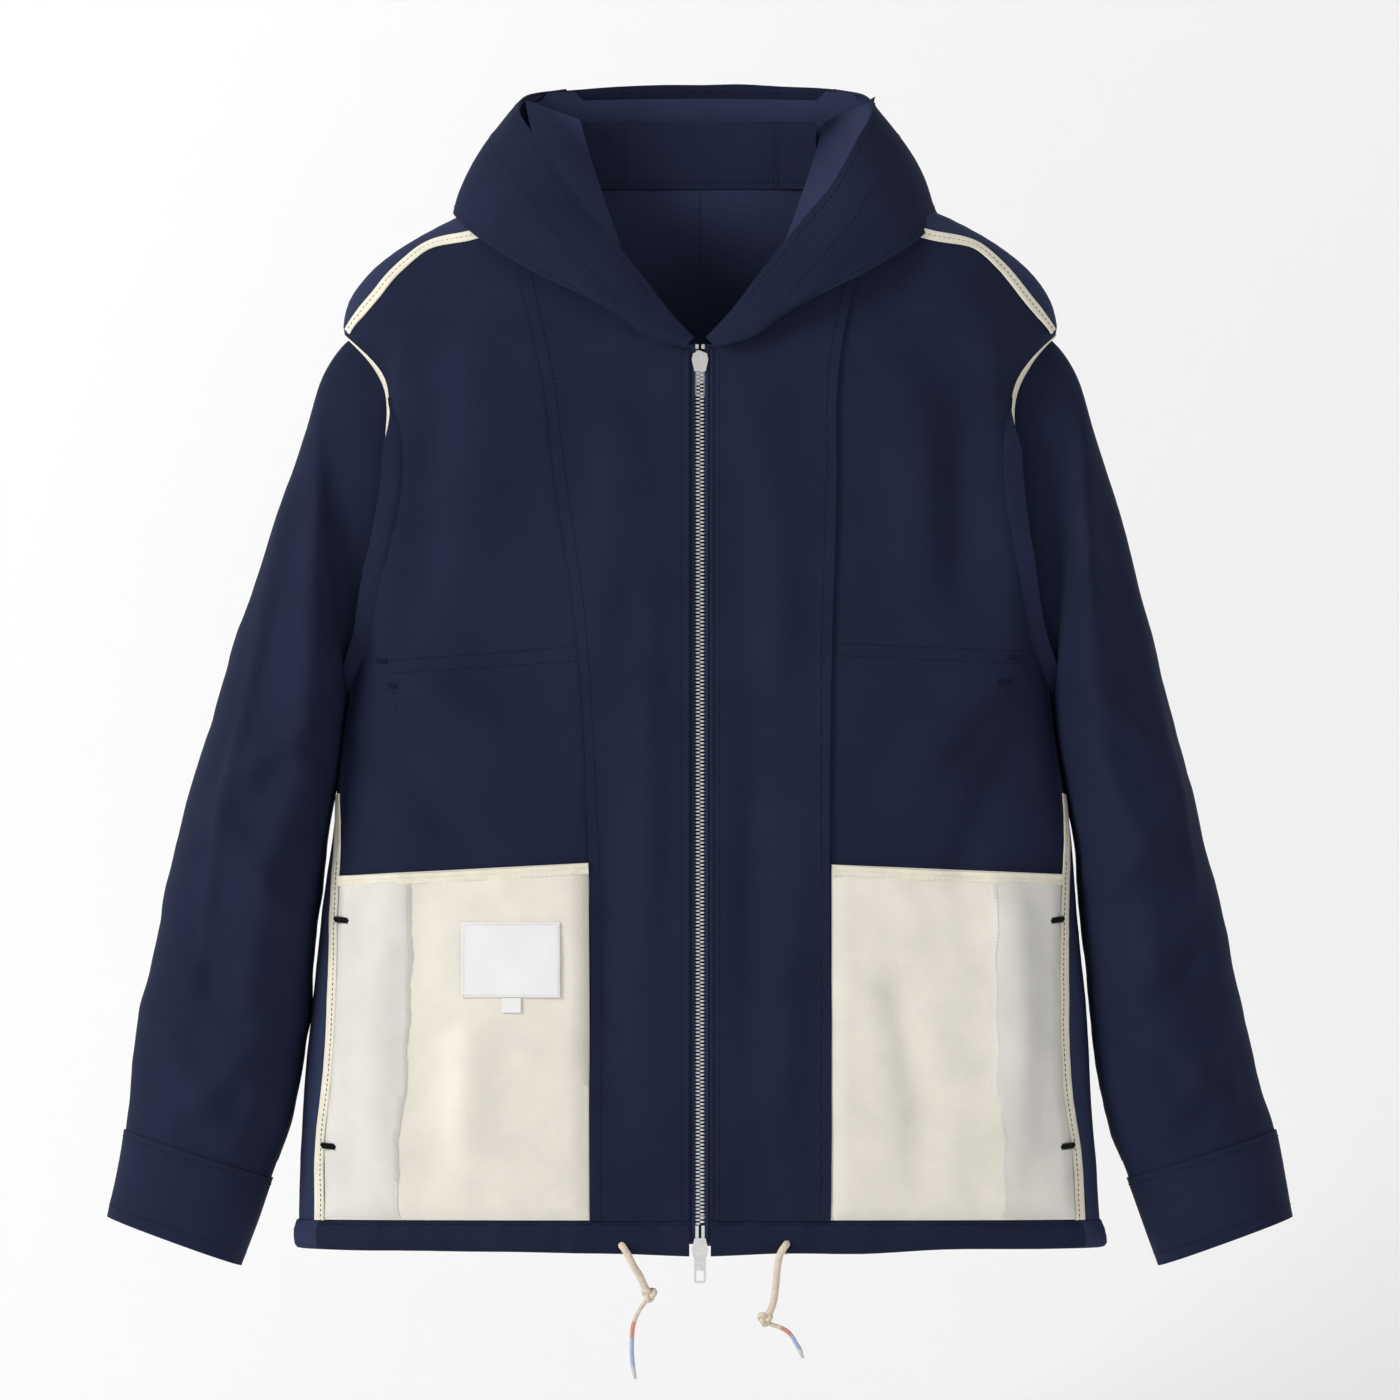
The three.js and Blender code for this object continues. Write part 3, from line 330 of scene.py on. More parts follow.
level_grid, turn_grid = np.meshgrid(LEVELS, TURNS, indexing="ij")
across, deep = unit_point(turn_grid, level_grid)
across, deep = across * half_width(level_grid), deep * half_depth(level_grid)
steps = np.hypot(np.diff(across, axis=1), np.diff(deep, axis=1))
ARC = np.concatenate([np.zeros((len(LEVELS), 1)), np.cumsum(steps, axis=1)], axis=1)
ROUND = ARC[:, -1]
SHARES = np.linspace(0, 1, len(TURNS))
TURN_AT = np.array([np.interp(SHARES, row / row[-1], TURNS) for row in ARC])


def table_read(table, z, column):
    """Straight between the cells of a table of level by column."""
    row = np.clip(np.interp(z, LEVELS, np.arange(len(LEVELS))), 0, len(LEVELS) - 1.001)
    column = np.clip(column, 0, table.shape[1] - 1.001)
    i, j = row.astype(int), column.astype(int)
    fi, fj = row - i, column - j
    low = mix(table[i, j], table[i, j + 1], fj)
    high = mix(table[i + 1, j], table[i + 1, j + 1], fj)
    return mix(low, high, fi)


def arc_of_turn(turn, z):
    """How far round the body, from the front middle, a turn is."""
    column = (turn - TURNS[0]) / (TURNS[-1] - TURNS[0]) * (len(TURNS) - 1)
    return table_read(ARC, z, column)


def front(points):
    """Outline points [x, z] on the front as [round, z]."""
    x, z = np.asarray(points, float).T
    power = roundness(z)
    share = np.clip(x / half_width(z), 0, 1)
    depth = (1 - share**power) ** (1 / power)
    return np.stack([arc_of_turn(np.arctan2(-depth, share), z), z], -1)


def beside(points):
    """Outline points [y, z] on the side as [round, z]."""
    y, z = np.asarray(points, float).T
    power = roundness(z)
    depth = np.clip(y / half_depth(z), -1, 1)
    share = (1 - np.abs(depth) ** power) ** (1 / power)
    return np.stack([arc_of_turn(np.arctan2(depth, share), z), z], -1)


def round_at(z):
    return np.interp(z, LEVELS, ROUND)


FOLD_GAIN = 3.6
# Each fold: from x, z, to x, z, half width, height.
FRONT_FOLDS = [
    (-205, -60, -228, -330, 12, 2.6),
    (-188, -120, -205, -300, 16, -1.8),
    (-150, -60, -165, -260, 20, 1.6),
    (-232, -300, -120, -400, 15, 1.7),
    (-240, -350, -150, -470, 13, -1.4),
    (-60, -120, -70, -330, 18, 1.4),
    (-30, -200, -45, -600, 13, 1.3),
    (-70, -420, -60, -700, 15, -1.3),
    (-215, -420, -225, -720, 17, 1.7),
    (-150, -500, -175, -715, 15, 1.4),
    (200, -60, 226, -330, 13, 2.4),
    (180, -110, 196, -290, 16, -1.7),
    (140, -70, 160, -290, 19, 1.7),
    (232, -310, 130, -420, 15, 1.7),
    (238, -360, 170, -500, 13, -1.3),
    (40, -130, 60, -360, 16, 1.4),
    (35, -300, 40, -640, 13, -1.2),
    (75, -420, 55, -700, 15, 1.4),
    (210, -450, 226, -720, 17, 1.6),
    (140, -520, 160, -715, 14, -1.3),
]
BACK_FOLDS = [
    (-190, -130, -120, -330, 17, 2.6),
    (190, -130, 130, -330, 17, 2.4),
    (-60, -150, -80, -420, 22, 2.0),
    (70, -170, 90, -440, 22, -1.8),
    (-150, -380, -170, -715, 20, 2.4),
    (150, -390, 175, -715, 20, 2.2),
    (0, -330, 10, -715, 24, 2.0),
    (-230, -330, -140, -470, 15, 2.0),
    (230, -330, 140, -480, 15, 1.8),
]


FLAT_ROUND_LABEL = 6
FLAT_FADES = 28  # over this distance


def near_label(x, z):
    """1 under the label, where the cloth lies flat, and 0 well away from it."""
    low, high = box("label")
    middle = (low + high) / 2
    half = (high - low) / 2 + FLAT_ROUND_LABEL
    aside = np.maximum(np.abs(x - middle[0]) - half[0], 0)
    above = np.maximum(np.abs(z - middle[2]) - half[2], 0)
    return 1 - smooth(np.hypot(aside, above) / FLAT_FADES)


def body_folds(x, z, depth):
    """How far the cloth stands off the form. Depth is -1 at the front and 1 at the back."""
    ahead = smooth(-depth * 1.6)
    behind = smooth(depth * 1.6)
    broad = 2.5 * noise(x, z * 0.6, 95, 3) + 1.4 * noise(x * 1.2, z * 0.7, 44, 4)
    fine = 0.32 * noise(x + 0.4 * z, z * 0.7, 17, 5) + 0.13 * noise(x - 0.3 * z, z, 8, 6)
    hem = 1.1 * smooth((HEM_SEAM_Z + 40 - z) / 50) * noise(x, z * 0.15, 17, 8)
    calm = smooth((abs(x) - 8) / 26)
    made = FOLD_GAIN * (ahead * folds(x, z, FRONT_FOLDS) + behind * folds(x, z, BACK_FOLDS))
    total = calm * (made + broad + hem) + (0.35 + 0.65 * calm) * fine
    return (1 - 0.9 * ahead * near_label(x, z)) * total


def on_body(side):
    """A surface: [round, z] points and a lift become points in space, on that side of the jacket."""

    def place(flat, lift):
        away, z = np.asarray(flat, float).T
        whole = round_at(z)
        turn = table_read(TURN_AT, z, away / whole * (len(TURNS) - 1))
        across, deep = unit_point(turn, z)
        out = lift + body_folds(side * across * half_width(z), z, deep)
        return np.stack([side * (half_width(z) + out) * across, (half_depth(z) + out) * deep, z], -1)

    return place


# ---- pieces on a surface


def route(place, path, lift, step, bent=False):
    """Stations along a path of flat points: place, tangent, normal, sideways and the flat point of each."""
    path = np.asarray(path, float)
    many = 60 * (len(path) - 1)
    flat = curved(path, np.linspace(0, 1, many)) if bent else straight(path, many)
    run = lengths(place(flat, lift))
    count = max(3, int(run[-1] / step) + 1)
    at = np.linspace(0, run[-1], count)
    flat = np.stack([np.interp(at, run, flat[:, k]) for k in (0, 1)], -1)
    point = place(flat, lift)
    tangent = np.gradient(point, axis=0)
    tangent /= np.linalg.norm(tangent, axis=1)[:, None]
    reach = 0.01 * (np.ptp(path, axis=0).max() or 1)
    first = place(flat + [reach, 0], lift) - place(flat - [reach, 0], lift)
    second = place(flat + [0, reach], lift) - place(flat - [0, reach], lift)
    normal = np.cross(first, second)
    normal /= np.linalg.norm(normal, axis=1)[:, None]
    outward = place(flat, lift + 1.0) - point
    normal *= np.sign((normal * outward).sum(1))[:, None]
    sideways = np.cross(tangent, normal)
    return point, tangent, normal, sideways, flat


TAPE_HALF = 4


def tape_profile(half=TAPE_HALF, height=1.0):
    """A woven tape's cross-section, with a dip where it is stitched."""
    return [
        (-half, 0),
        (-half, 0.5 * height),
        (-half + 0.5, height),
        (-0.5, height),
        (0, 0.72 * height),
        (0.5, height),
        (half - 0.5, height),
        (half, 0.5 * height),
        (half, 0),
    ]


def ribbon(place, path, lift, profile, step=3.0, closed=False, bent=False):
    """A profile swept along a path on a surface."""
    point, _, normal, sideways, _ = route(place, path, lift, step, bent)
    if closed:
        point, normal, sideways = point[:-1], normal[:-1], sideways[:-1]
    rings = [[p + s * off + n * up for off, up in profile] for p, n, s in zip(point, normal, sideways)]
    return tube(rings, closed)


def stitches(place, path, lift, length=2.3, gap=1.3, width=0.5, bent=False):
    """Raised threads along a path, each a small spindle."""
    point, tangent, normal, sideways, _ = route(place, path, lift, length + gap, bent)
    half = length / 2
    spindle = ((-half, 0.35, -0.25), (-half / 2, 1, 0.12), (half / 2, 1, 0.12), (half, 0.35, -0.25))
    parts = []
    for p, t, n, s in zip(point, tangent, normal, sideways):
        rings = []
        for at, thickness, up in spindle:
            middle = p + t * at + n * up
            reach = width * thickness / 2
            rings.append([middle + s * reach, middle + n * reach, middle - s * reach, middle - n * reach])
        parts.append(tube(rings))
    return join(parts)


def distance_to(outline, points, closed=True):
    """Distance of each point to the nearest part of an outline."""
    ends = np.roll(outline, -1, axis=0) if closed else outline[1:]
    starts = outline if closed else outline[:-1]
    best = np.full(len(points), np.inf)
    for a, b in zip(starts, ends):
        run = b - a
        share = clamp(((points - a) @ run) / max(run @ run, 1e-9))
        best = np.minimum(best, np.linalg.norm(points - (a + share[:, None] * run), axis=1))
    return best


def roll_profile(across, up, middle=0):
    """A round cross-section for a folded edge."""
    turns = np.linspace(0, 2 * math.pi, 12, endpoint=False)
    return [(across * math.cos(t), middle + up * math.sin(t)) for t in turns]


def inside(outline, points):
    """Which points lie inside an outline."""
    found = np.zeros(len(points), bool)
    for (ax, az), (bx, bz) in zip(outline, np.roll(outline, -1, axis=0)):
        crossing = (az > points[:, 1]) != (bz > points[:, 1])
        if az != bz:
            at = ax + (points[:, 1] - az) / (bz - az) * (bx - ax)
            found ^= crossing & (points[:, 0] < at)
    return found


def fill(outline, step):
    """Flat points and triangles that fill an outline."""
    outline = np.asarray(outline, float)
    loop = np.vstack([outline, outline[:1]])
    edge = []
    for a, b in zip(loop[:-1], loop[1:]):
        count = max(1, int(round(np.linalg.norm(b - a) / step)))
        edge.extend(a + (b - a) * k / count for k in range(count))
    edge = np.array(edge)
    low, high = edge.min(0), edge.max(0)
    xs = np.arange(low[0] + step / 2, high[0], step)
    zs = np.arange(low[1] + step / 2, high[1], step)
    grid = np.stack(np.meshgrid(xs, zs), -1).reshape(-1, 2)
    grid = grid[inside(edge, grid)]
    grid = grid[distance_to(edge, grid) > 0.5 * step]
    points = [Vector(p) for p in np.vstack([edge, grid])]
    made = delaunay_2d_cdt(points, [], [list(range(len(edge)))], 1, 1e-5)
    return np.array([list(v) for v in made[0]]), [list(f) for f in made[2]]


def sheet_on(place, outline, low, high, step=6.0):
    """Cloth over an outline, between two lifts, each a number or a function of the flat points."""
    flat, faces = fill(outline, step)

    def height(lift):
        return lift(flat) if callable(lift) else lift

    return thick(place(flat, height(low)), place(flat, height(high)), faces)


# ---- materials


CLOTH_SHINE = 0.07
METAL_SHINE = 0.5


def material(
    name, colour, roughness, metallic=0.0, sheen=0.0, mottle=0.12, patch=14.0, grain=700.0, bump=0.25
):
    """A surface with soft uneven colour and a fine woven or brushed grain."""
    made = bpy.data.materials.new(name)
    made.use_nodes = True
    nodes, links = made.node_tree.nodes, made.node_tree.links
    shader = nodes["Principled BSDF"]
    shader.inputs["Roughness"].default_value = roughness
    shader.inputs["Metallic"].default_value = metallic
    shader.inputs["Sheen Weight"].default_value = sheen
    shader.inputs["Specular IOR Level"].default_value = METAL_SHINE if metallic else CLOTH_SHINE
    where = nodes.new("ShaderNodeTexCoord")
    uneven = nodes.new("ShaderNodeTexNoise")
    uneven.inputs["Scale"].default_value = patch
    uneven.inputs["Detail"].default_value = 5
    ramp = nodes.new("ShaderNodeValToRGB")
    ramp.color_ramp.elements[0].position = 0.3
    ramp.color_ramp.elements[1].position = 0.7
    ramp.color_ramp.elements[0].color = [c * (1 - mottle) for c in colour] + [1]
    ramp.color_ramp.elements[1].color = [min(1, c * (1 + mottle)) for c in colour] + [1]
    links.new(where.outputs["Object"], uneven.inputs["Vector"])
    links.new(uneven.outputs["Fac"], ramp.inputs["Fac"])
    links.new(ramp.outputs["Color"], shader.inputs["Base Color"])
    fine = nodes.new("ShaderNodeTexNoise")
    fine.inputs["Scale"].default_value = grain
    fine.inputs["Detail"].default_value = 2
    raised = nodes.new("ShaderNodeBump")
    raised.inputs["Strength"].default_value = bump
    raised.inputs["Distance"].default_value = 0.0004
    links.new(where.outputs["Object"], fine.inputs["Vector"])
    links.new(fine.outputs["Fac"], raised.inputs["Height"])
    links.new(raised.outputs["Normal"], shader.inputs["Normal"])
    return made


navy = material("navy_cloth", (0.0131, 0.0172, 0.0405), 0.8, mottle=0.1, bump=0.35)
# Painted light: a copy of the navy cloth made about twice as bright, to lift the hood's inside and the other
# navy parts that lie in shade.
navy_painted_bright = material("navy_painted_bright", (0.029, 0.036, 0.080), 0.85, mottle=0.1, bump=0.35)
navy_thread = material("navy_thread", (0.008, 0.010, 0.024), 0.7, mottle=0.2)
cream = material("cream_cotton", (0.77, 0.735, 0.64), 0.88, sheen=0.05, mottle=0.05, patch=30, bump=0.5)
grey = material("grey_cotton", (0.70, 0.68, 0.635), 0.88, sheen=0.05, mottle=0.05, patch=30, bump=0.5)
tape_white = material("binding_tape", (0.80, 0.755, 0.63), 0.85, mottle=0.06, patch=120, grain=1100, bump=0.6)
black = material("black_thread", (0.012, 0.012, 0.012), 0.55, mottle=0.3)
pale_thread = material("pale_thread", (0.66, 0.62, 0.53), 0.7, mottle=0.1)
label_white = material("label_cloth", (0.82, 0.82, 0.81), 0.6, sheen=0.1, mottle=0.03, grain=1500)
steel = material(
    "zip_metal", (0.95, 0.95, 0.94), 0.36, metallic=1.0, mottle=0.1, patch=300, grain=500, bump=0.1
)
braid = material("braided_cord", (0.72, 0.62, 0.50), 0.85, sheen=0.1, mottle=0.1, patch=400, bump=0.5)
red_band = material("red_thread", (0.66, 0.30, 0.25), 0.8, mottle=0.15, patch=700)
blue_band = material("blue_thread", (0.42, 0.47, 0.66), 0.8, mottle=0.15, patch=700)
clear_tip = material("sealed_tip", (0.62, 0.60, 0.57), 0.35, mottle=0.1, patch=700)


def put(name, made, look, body="torso", instead=(), bend=None):
    """Makes a piece, lets it ride on a body, and hides the CAD nodes that it stands for. With a bend given,
    the piece is fixed where it was made and rides on no body.
    """
    obj = build(name, made[0], made[1], look)
    if bend:
        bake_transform(obj)
    else:
        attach(obj, body)
    if instead:
        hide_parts(*instead)
    return obj


# ---- stage: a pale floor that turns up into a wall behind, seen only from its front

FLOOR_Z = -900
WALL_Y = 900
CORNER = 350
FLOOR_GREY = (0.80, 0.80, 0.80, 1)
FLOOR_GLOW = 0.2


def stage():
    turns = np.linspace(-math.pi / 2, 0, 13)
    middle_y, middle_z = WALL_Y - CORNER, FLOOR_Z + CORNER
    corner = [(middle_y + CORNER * math.cos(t), middle_z + CORNER * math.sin(t)) for t in turns]
    profile = [(-9000, FLOOR_Z), *corner, (WALL_Y, 6000)]
    points = np.array([(x, y, z) for y, z in profile for x in (-7000, 7000)], float)
    faces = grid_faces(len(profile), 2)
    mesh = bpy.data.meshes.new("floor")
    mesh.from_pydata((points * MM).tolist(), [], faces)
    mesh.shade_smooth()
    look = bpy.data.materials.new("pale_floor")
    look.use_nodes = True
    nodes, links = look.node_tree.nodes, look.node_tree.links
    shader = nodes["Principled BSDF"]
    shader.inputs["Base Color"].default_value = FLOOR_GREY
    shader.inputs["Roughness"].default_value = 1
    shader.inputs["Specular IOR Level"].default_value = 0
    shader.inputs["Emission Color"].default_value = (1, 1, 1, 1)
    shader.inputs["Emission Strength"].default_value = FLOOR_GLOW
    behind = nodes.new("ShaderNodeNewGeometry")
    clear = nodes.new("ShaderNodeBsdfTransparent")
    either = nodes.new("ShaderNodeMixShader")
    links.new(behind.outputs["Backfacing"], either.inputs[0])
    links.new(shader.outputs[0], either.inputs[1])
    links.new(clear.outputs[0], either.inputs[2])
    links.new(either.outputs[0], nodes["Material Output"].inputs["Surface"])
    mesh.materials.append(look)
    floor = bpy.data.objects.new("floor", mesh)
    bpy.context.collection.objects.link(floor)


stage()

# ---- drawcord ends

CORD = 5.2
TAIL = 3.2
CORD_Y = -49.8
CORD_OUT = 8.2  # in front of its line where it comes out through the hem's eyelet
EXITS = {"left": 61, "right": -53}
# Points of each cord: x, distance below the hem and, for the thick part, the share of CORD_OUT.
CORD_ROUTES = {
    "right": {
        "cord": [
            (-57, -8, 0.3),
            (-55.5, -6.5, 0.95),
            (-52, -1, 1),
            (-48, 7, 0.9),
            (-43, 15, 0.5),
            (-39.5, 23, 0.2),
            (-36.8, 27, 0),
        ],
        "knot": (-36.5, 28),
        "tail": [(-38, 31), (-40, 34), (-44, 40), (-48, 50), (-49, 61), (-49, 71), (-48, 81), (-46.5, 89)],
    },
    "left": {
        "cord": [
            (63, -9, 0.3),
            (61.5, -7.5, 0.95),
            (58, -2, 1),
            (56, 7, 0.95),
            (54.5, 22, 0.5),
            (53, 33, 0.2),
            (50, 41, 0),
            (47.4, 44.6, 0),
        ],
        "knot": (46.8, 45.4),
        "tail": [(48.5, 48), (51, 49.5), (57, 51.5), (62, 54), (66, 58), (69, 63), (72, 68), (74, 74)],
    },
}
# How far from the tip the red, the blue and the sealed part of each tail begin.
TAIL_BANDS = {"right": (42, 30, 9), "left": (28, 19, 7)}
TAIL_ROUND = 16


def down(points):
    """A cord's points in space."""
    placed = []
    for x, below, *share in points:
        placed.append((x, CORD_Y - CORD_OUT * (share[0] if share else 0), HEM_Z - below))
    return np.array(placed, float)


def frames(line):
    """Two directions across a line at each of its points."""
    tangent = np.gradient(line, axis=0)
    tangent /= np.linalg.norm(tangent, axis=1)[:, None]
    first = np.cross(tangent, [0, 1, 0.001])
    first /= np.linalg.norm(first, axis=1)[:, None]
    return first, np.cross(tangent, first)


def braided(line, diameter, strands=4, pitch=2.4, around=20, fray=0):
    """A round braid: two sets of strands that cross over each other raise its surface."""
    first, second = frames(line)
    run = lengths(line)
    turn = np.linspace(0, 2 * math.pi, around, endpoint=False)
    one = np.cos(strands * turn[None, :] + run[:, None] * (2 * math.pi / pitch / 2))
    two = np.cos(strands * turn[None, :] - run[:, None] * (2 * math.pi / pitch / 2))
    radius = diameter / 2 * (0.965 + 0.075 * np.maximum(one, two) * np.abs(one - two) / 1.2)
    if fray:
        left = run[-1] - run
        radius *= (1 - 0.35 * smooth((fray - left) / fray))[:, None]
    return (
        line[:, None]
        + radius[..., None] * np.cos(turn)[None, :, None] * first[:, None]
        + radius[..., None] * np.sin(turn)[None, :, None] * second[:, None]
    )


def overhand(centre, size, thickness):
    """A small overhand knot: a trefoil pulled tight."""
    t = np.linspace(0, 2 * math.pi, 97)[:-1]
    line = np.stack(
        [
            size * (np.sin(t) + 1.9 * np.sin(2 * t)) / 2.9,
            0.75 * size * -np.sin(3 * t) / 1.2,
            size * (np.cos(t) - 1.9 * np.cos(2 * t)) / 2.9,
        ],
        -1,
    )
    tangent = np.roll(line, -1, axis=0) - np.roll(line, 1, axis=0)
    tangent /= np.linalg.norm(tangent, axis=1)[:, None]
    first = np.cross(tangent, [0.05, 1, 0.03])
    first /= np.linalg.norm(first, axis=1)[:, None]
    second = np.cross(tangent, first)
    turn = np.linspace(0, 2 * math.pi, 12, endpoint=False)
    ridges = 1 + 0.05 * np.cos(3 * turn[None, :] + 18 * t[:, None])
    rings = line[:, None] + thickness / 2 * ridges[..., None] * (
        np.cos(turn)[None, :, None] * first[:, None] + np.sin(turn)[None, :, None] * second[:, None]
    )
    return tube(rings + centre, closed=True)


def free_cord(obj, line, diameter, far_end, **more):
    """Works out the length of a cord and does nothing with it."""
    lengths(line)[-1] * MM


def colour_bands(tail, line, bands):
    """Bands of coloured thread near the tail's end, then the sealed tip, by the distance left to go."""
    for look in (red_band, blue_band, clear_tip):
        tail.data.materials.append(look)
    left = lengths(line)[-1] - lengths(line)
    for face in tail.data.polygons:
        at = left[min(face.vertices[0] // TAIL_ROUND, len(left) - 1)]
        face.material_index = sum(at < start for start in bands)


def drawcord():
    for name, _ in SIDES:
        plan = CORD_ROUTES[name]
        body = f"cord_{name}_body"
        made = overhand(down([plan["knot"]])[0], 4.2, 3.9)
        knot = put(f"drawcord_knot_{name}", made, braid, body, [f"cord_knot_{name}"])
        line = curved(down(plan["cord"]), np.linspace(0, 1, 120))
        made = tube(braided(line, CORD))
        end = put(f"drawcord_end_{name}", made, braid, body, [f"cord_end_{name}"])
        free_cord(end, line, CORD, "knot", with_pieces=[knot])
        line = curved(down(plan["tail"]), np.linspace(0, 1, 260))
        made = tube(braided(line, TAIL, 3, 1.7, TAIL_ROUND, fray=6))
        nodes = [f"cord_tail_{name}", f"cord_tip_{name}"]
        tail = put(f"drawcord_tail_{name}", made, braid, body, nodes)
        colour_bands(tail, line, TAIL_BANDS[name])
        free_cord(tail, line, TAIL, "bare")


drawcord()

# ---- outlines of the front, for the wearer's left; [x, z]

SIDE_SEAM = [
    (273, HEM_SEAM_Z),
    (271, HEM_SEAM_Z + 50),
    (265, HEM_SEAM_Z + 95),
    (262, HEM_SEAM_Z + 180),
    (262, HEM_SEAM_Z + 257),
    (256, HEM_SEAM_Z + 323),
    (250, ARMPIT_Z),
]
SHOULDER_SEAM = [(252, -78), (236, -57), (213, -30), (197, -17), (164, -9), (97, 10.8)]
NECK_FRONT = [(97, 10.8), (76, -35), (45, -68), (12, -NECK_DROP), (FRONT_EDGE, -NECK_DROP)]
PLACKET_EDGE = {
    "right": [
        (78, HEM_SEAM_Z),
        (80, POCKET_TOP_Z + 10),
        (88.6, -286),
        (103, -186),
        (110, -116),
        (119, -75),
        (129, -30),
        (131, -10),
    ],
    "left": [
        (93, HEM_SEAM_Z),
        (93.6, -301),
        (97, -186),
        (98, -113),
        (103, -74),
        (111, -42),
        (114, -10),
    ],
}


def edge_at(outline, z):
    heights = [h for _, h in outline]
    return np.interp(z, heights, [x for x, _ in outline])


def armhole(grow=0.0, count=72):
    """Points [y, z] round the armhole from its top, forwards, down and up behind."""
    turn = np.linspace(math.pi / 2, 2.5 * math.pi, count + 1)
    middle = (ARMHOLE_TOP_Z + ARMPIT_Z) / 2
    y = ARM_Y + (ARMHOLE_HALF_DEPTH + grow) * signed_power(np.cos(turn), 0.8)
    z = middle + ((ARMHOLE_TOP_Z - ARMPIT_Z) / 2 + grow) * signed_power(np.sin(turn), 0.8)
    return np.stack([y, z], -1)


SEAM_MEETS = ARMPIT_Z + 17  # the side seam comes to the armhole here
front_arc = armhole()[1:36]
front_arc = front_arc[(front_arc[:, 0] < 0) & (front_arc[:, 1] > SEAM_MEETS)]
back_arc = armhole()[1:]
back_arc = back_arc[~((back_arc[:, 0] < 0) & (back_arc[:, 1] > SEAM_MEETS))]


def panels():
    seam = front(curved(SIDE_SEAM, np.linspace(0, 1, 24)))
    shoulder = front(curved(SHOULDER_SEAM, np.linspace(0, 1, 24)))
    neck = front(curved(NECK_FRONT[:-1], np.linspace(0, 1, 16)))
    arm = beside(front_arc)
    foot = front([(FRONT_EDGE, HEM_SEAM_Z)])
    outline = np.vstack([foot, seam, arm[::-1], shoulder, neck, front(NECK_FRONT[-1:])])
    for name, side in SIDES:
        made = sheet_on(on_body(side), outline, 0, CLOTH)
        put(f"front_cloth_{name}", made, navy, instead=[f"front_panel_{name}"])
    heights = np.linspace(HEM_SEAM_Z, NECK_BACK_Z, 120)
    middle = np.stack([round_at(heights), heights], -1)[::-1]
    behind = beside(back_arc)
    begin = front([(98.5, NECK_BACK_Z)])[0][0]
    top = np.array([[mix(begin, round_at(NECK_BACK_Z), t), NECK_BACK_Z] for t in np.linspace(0, 1, 20)])
    foot = [[round_at(HEM_SEAM_Z), HEM_SEAM_Z]]
    half = np.vstack([seam[:-1], behind, shoulder, top[:-1], middle[:-1], foot])
    made = join([sheet_on(on_body(side), half, 0, CLOTH) for _, side in SIDES])
    put("back_cloth", made, navy_painted_bright, instead=["back_panel"])


panels()


def placket_outline(name):
    edge = front(curved(PLACKET_EDGE[name], np.linspace(0, 1, 40)))
    inner = front(curved([(86.5, -10), (76, -35), (45, -68), (12, -NECK_DROP)], np.linspace(0, 1, 14)))
    foot = front([(FRONT_EDGE, HEM_SEAM_Z)])
    return np.vstack([foot, edge, inner, front([(FRONT_EDGE, -NECK_DROP)])])


def moved_edge(name, by, low=HEM_SEAM_Z, high=-12, count=30):
    """The placket's edge moved towards the middle."""
    heights = np.linspace(low, high, count)
    return front([(edge_at(PLACKET_EDGE[name], z) - by, z) for z in heights])


def plackets():
    for name, side in SIDES:
        place = on_body(side)
        outline = placket_outline(name)
        edge = moved_edge(name, 0)

        def folded_top(flat, edge=edge):
            """The folded edge is a little thicker than the single cloth."""
            near = distance_to(edge, flat, closed=False)
            return PLACKET_HIGH + 0.7 * (1 - smooth((near - 3) / 9))

        made = sheet_on(place, outline, PLACKET_LOW, folded_top, step=5)
        put(f"front_facing_{name}", made, navy, instead=[f"placket_{name}"])
        line = moved_edge(name, 7.5)
        put(f"facing_stitches_{name}", stitches(place, line, PLACKET_HIGH + 0.5), navy_thread)
        fold = front([(FRONT_EDGE + 0.9, z) for z in np.linspace(HEM_SEAM_Z + 1, -NECK_DROP, 20)])
        put(f"front_fold_{name}", ribbon(place, fold, PLACKET_HIGH - 0.6, roll_profile(1.5, 1.1, 0.2)), navy)
        row = front([(FRONT_EDGE + 6, z) for z in np.linspace(HEM_SEAM_Z + 1, -NECK_DROP - 4, 20)])
        put(f"zip_stitches_{name}", stitches(place, row, PLACKET_HIGH + 0.05), navy_thread)


plackets()

# ---- the hem's tunnel

HEM_LIFT = 4.5  # its lower edge at the sides, above the CAD's
HEM_SAG = 3.5  # the hem hangs lower in the middle of the front


EYELET_RADIUS = 3.3
EYELET_THREAD = 0.7


def eyelet(x, z):
    """A sewn ring on the hem's front."""
    circle = [(math.cos(t), math.sin(t)) for t in np.linspace(0, 2 * math.pi, 25)[:-1]]
    y = -HEM_HALF_DEPTH - HEM_OUT + 0.2
    thread = [(EYELET_RADIUS + EYELET_THREAD * a, EYELET_THREAD * b) for a, b in circle[::3]]
    rings = [[(x + radius * c, y - out, z + radius * s) for radius, out in thread] for c, s in circle]
    return tube(rings, closed=True)


